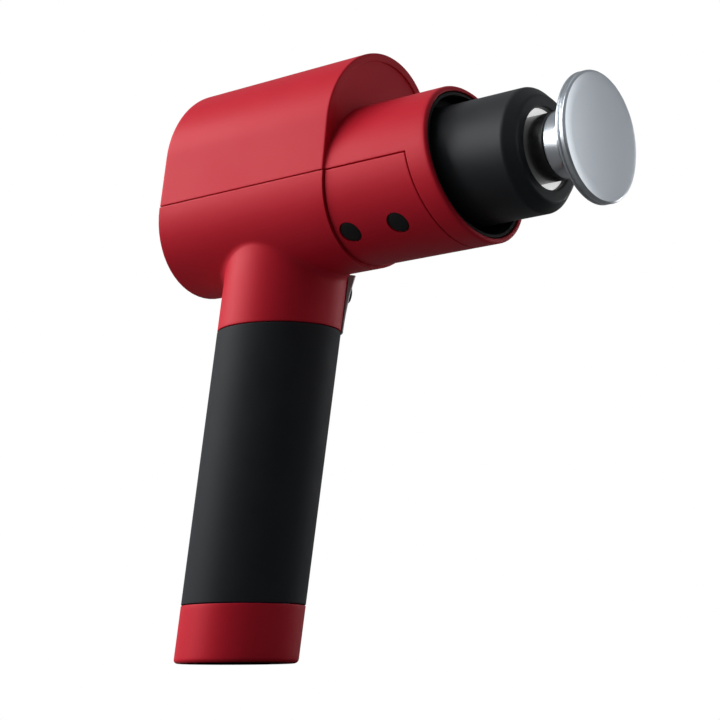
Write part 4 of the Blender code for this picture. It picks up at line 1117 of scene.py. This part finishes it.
INNER = {
    "cast_metal": CAST_METAL, "steel": GROUND_STEEL, "copper": COPPER_WIRE,
    "circuit_board": CIRCUIT_MASK, "cell_sleeve": CELL_WRAP, "white_polymer": GLOWING_WHITE_POLYMER,
    "dark_polymer": NOSE_POLYMER, "black_polymer": STEM_POLYMER, "black_rubber": SOFT_RUBBER,
}


def dress_inner_pieces():
    """Give each inner piece, which keeps its plain solid, its procedural finish."""
    slots = {row["node"]: row["material_slot"] for row in frame["record"]["subparts"]}
    for name, node in frame["nodes"].items():
        if node.hide_render:
            continue
        for holder in node.material_slots:
            holder.material = INNER[slots[name]]


# ---------------------------------------------------------------- stage, light and camera

def camera_switch(tree, path, otherwise, seen):
    """A colour that is one thing to the camera and another to every other ray."""
    node = add_node(tree, "Mix")
    node.data_type = "RGBA"
    node.inputs["A"].default_value = otherwise
    node.inputs["B"].default_value = seen
    wire(tree, (path.outputs["Is Camera Ray"], node.inputs["Factor"]))
    return node.outputs["Result"]


def stage_floor():
    """Pale floor under the base, see-through from below."""
    bm = bmesh.new()
    bmesh.ops.create_grid(bm, x_segments=1, y_segments=1, size=4.0,
                          matrix=Matrix.Translation((0.0, 0.0, -0.0004)))
    floor = mesh_object("floor", bm)
    material = bpy.data.materials.new("pale_floor")
    material.use_nodes = True
    tree = material.node_tree
    shader = tree.nodes["Principled BSDF"]
    shader.inputs["Roughness"].default_value = 0.9
    shader.inputs["Emission Strength"].default_value = 1.0
    path = add_node(tree, "LightPath")
    geometry = add_node(tree, "NewGeometry")
    clear = add_node(tree, "BsdfTransparent")
    mix = add_node(tree, "MixShader")
    wire(tree,
         (camera_switch(tree, path, grey(0.18), grey(0.32)), shader.inputs["Base Color"]),
         (camera_switch(tree, path, grey(0.0), (0.60, 0.61, 0.62, 1.0)), shader.inputs["Emission Color"]),
         (geometry.outputs["Backfacing"], mix.inputs["Fac"]),
         (shader.outputs["BSDF"], mix.inputs[1]),
         (clear.outputs["BSDF"], mix.inputs[2]),
         (mix.outputs["Shader"], tree.nodes["Material Output"].inputs["Surface"]))
    floor.data.materials.append(material)


def area_light(name, place, aim, width, height, power):
    """A soft rectangular lamp turned to the piece."""
    data = bpy.data.lights.new(name, "AREA")
    data.shape = "RECTANGLE"
    data.size = width
    data.size_y = height
    data.energy = power
    obj = bpy.data.objects.new(name, data)
    obj.location = place
    obj.rotation_euler = (aim - place).to_track_quat("-Z", "Y").to_euler()
    bpy.context.scene.collection.objects.link(obj)


# Soft panels: name, direction from the piece, distance, width, height, power
LIGHTS = [
    ("key", (-0.815, -0.380, 0.438), 1.4, 0.6, 0.6, 13.0),
    ("side_fill", (-0.627, -0.774, 0.087), 1.4, 0.6, 0.6, 3.7),
    ("side_high", (-0.583, -0.721, 0.375), 1.4, 0.6, 0.6, 4.2),
    ("front_high", (-0.139, -0.655, 0.743), 1.4, 0.6, 0.6, 4.5),
    ("top", (0.0, 0.0, 1.0), 1.4, 0.8, 0.8, 1.0),
    ("back_rim", (0.20, 0.98, 0.02), 1.3, 0.3, 0.9, 2.6),
    ("right_panel", (0.83, 0.54, 0.16), 1.3, 0.6, 0.9, 1.9),
]
WORLD_LIGHT = 0.1
WORLD_MIRRORED = 0.34


def studio_light():
    """White ground behind, weak light from it, a brighter ground in mirrors, and the lamps."""
    scene = bpy.context.scene
    scene.view_settings.view_transform = "Standard"
    world = bpy.data.worlds.new("studio")
    scene.world = world
    world.use_nodes = True
    tree = world.node_tree
    seen = tree.nodes["Background"]
    seen.inputs["Color"].default_value = grey(1.0)
    seen.inputs["Strength"].default_value = 1.0
    soft = add_node(tree, "Background", Color=(0.92, 0.96, 1.0, 1.0))
    path = add_node(tree, "LightPath")
    level = add_node(tree, "MapRange", To_Min=WORLD_LIGHT, To_Max=WORLD_MIRRORED)
    mix = add_node(tree, "MixShader")
    wire(tree,
         (path.outputs["Is Glossy Ray"], level.inputs["Value"]),
         (level.outputs["Result"], soft.inputs["Strength"]),
         (path.outputs["Is Camera Ray"], mix.inputs["Fac"]),
         (soft.outputs["Background"], mix.inputs[1]),
         (seen.outputs["Background"], mix.inputs[2]),
         (mix.outputs["Shader"], tree.nodes["World Output"].inputs["Surface"]))
    aim = Vector((0.04, 0.0, 0.13))
    for name, towards, distance, width, height, power in LIGHTS:
        area_light(name, aim + Vector(towards).normalized() * distance, aim, width, height, power)


def camera():
    """Seen from the right-hand front, a little from below."""
    azimuth, elevation, roll = math.radians(39.28), math.radians(-10.12), math.radians(-0.30)
    aim = Vector((0.06157, 0.0, 0.10968))
    distance = 0.716
    back = Vector((math.sin(azimuth) * math.cos(elevation), -math.cos(azimuth) * math.cos(elevation),
                   math.sin(elevation)))
    data = bpy.data.cameras.new("camera")
    data.lens = 96.99
    data.sensor_width = 36.0
    obj = bpy.data.objects.new("camera", data)
    obj.location = aim + back * distance
    obj.rotation_mode = "QUATERNION"
    obj.rotation_quaternion = ((-back).to_track_quat("-Z", "Y")
                               @ Matrix.Rotation(roll, 3, "Z").to_quaternion())
    bpy.context.scene.collection.objects.link(obj)
    bpy.context.scene.camera = obj


camera()
upper_shell()
lower_shell()
barrel_cover()
grip_sleeve()
end_cap()
charge_jack()
thumb_panel()
power_button()
rear_cover()
display_lens()
mouth_seal()
nose_sleeve()
guide_bush()
head_stem()
o_rings()
head_disc()
fasteners()
dress_inner_pieces()
stage_floor()
studio_light()
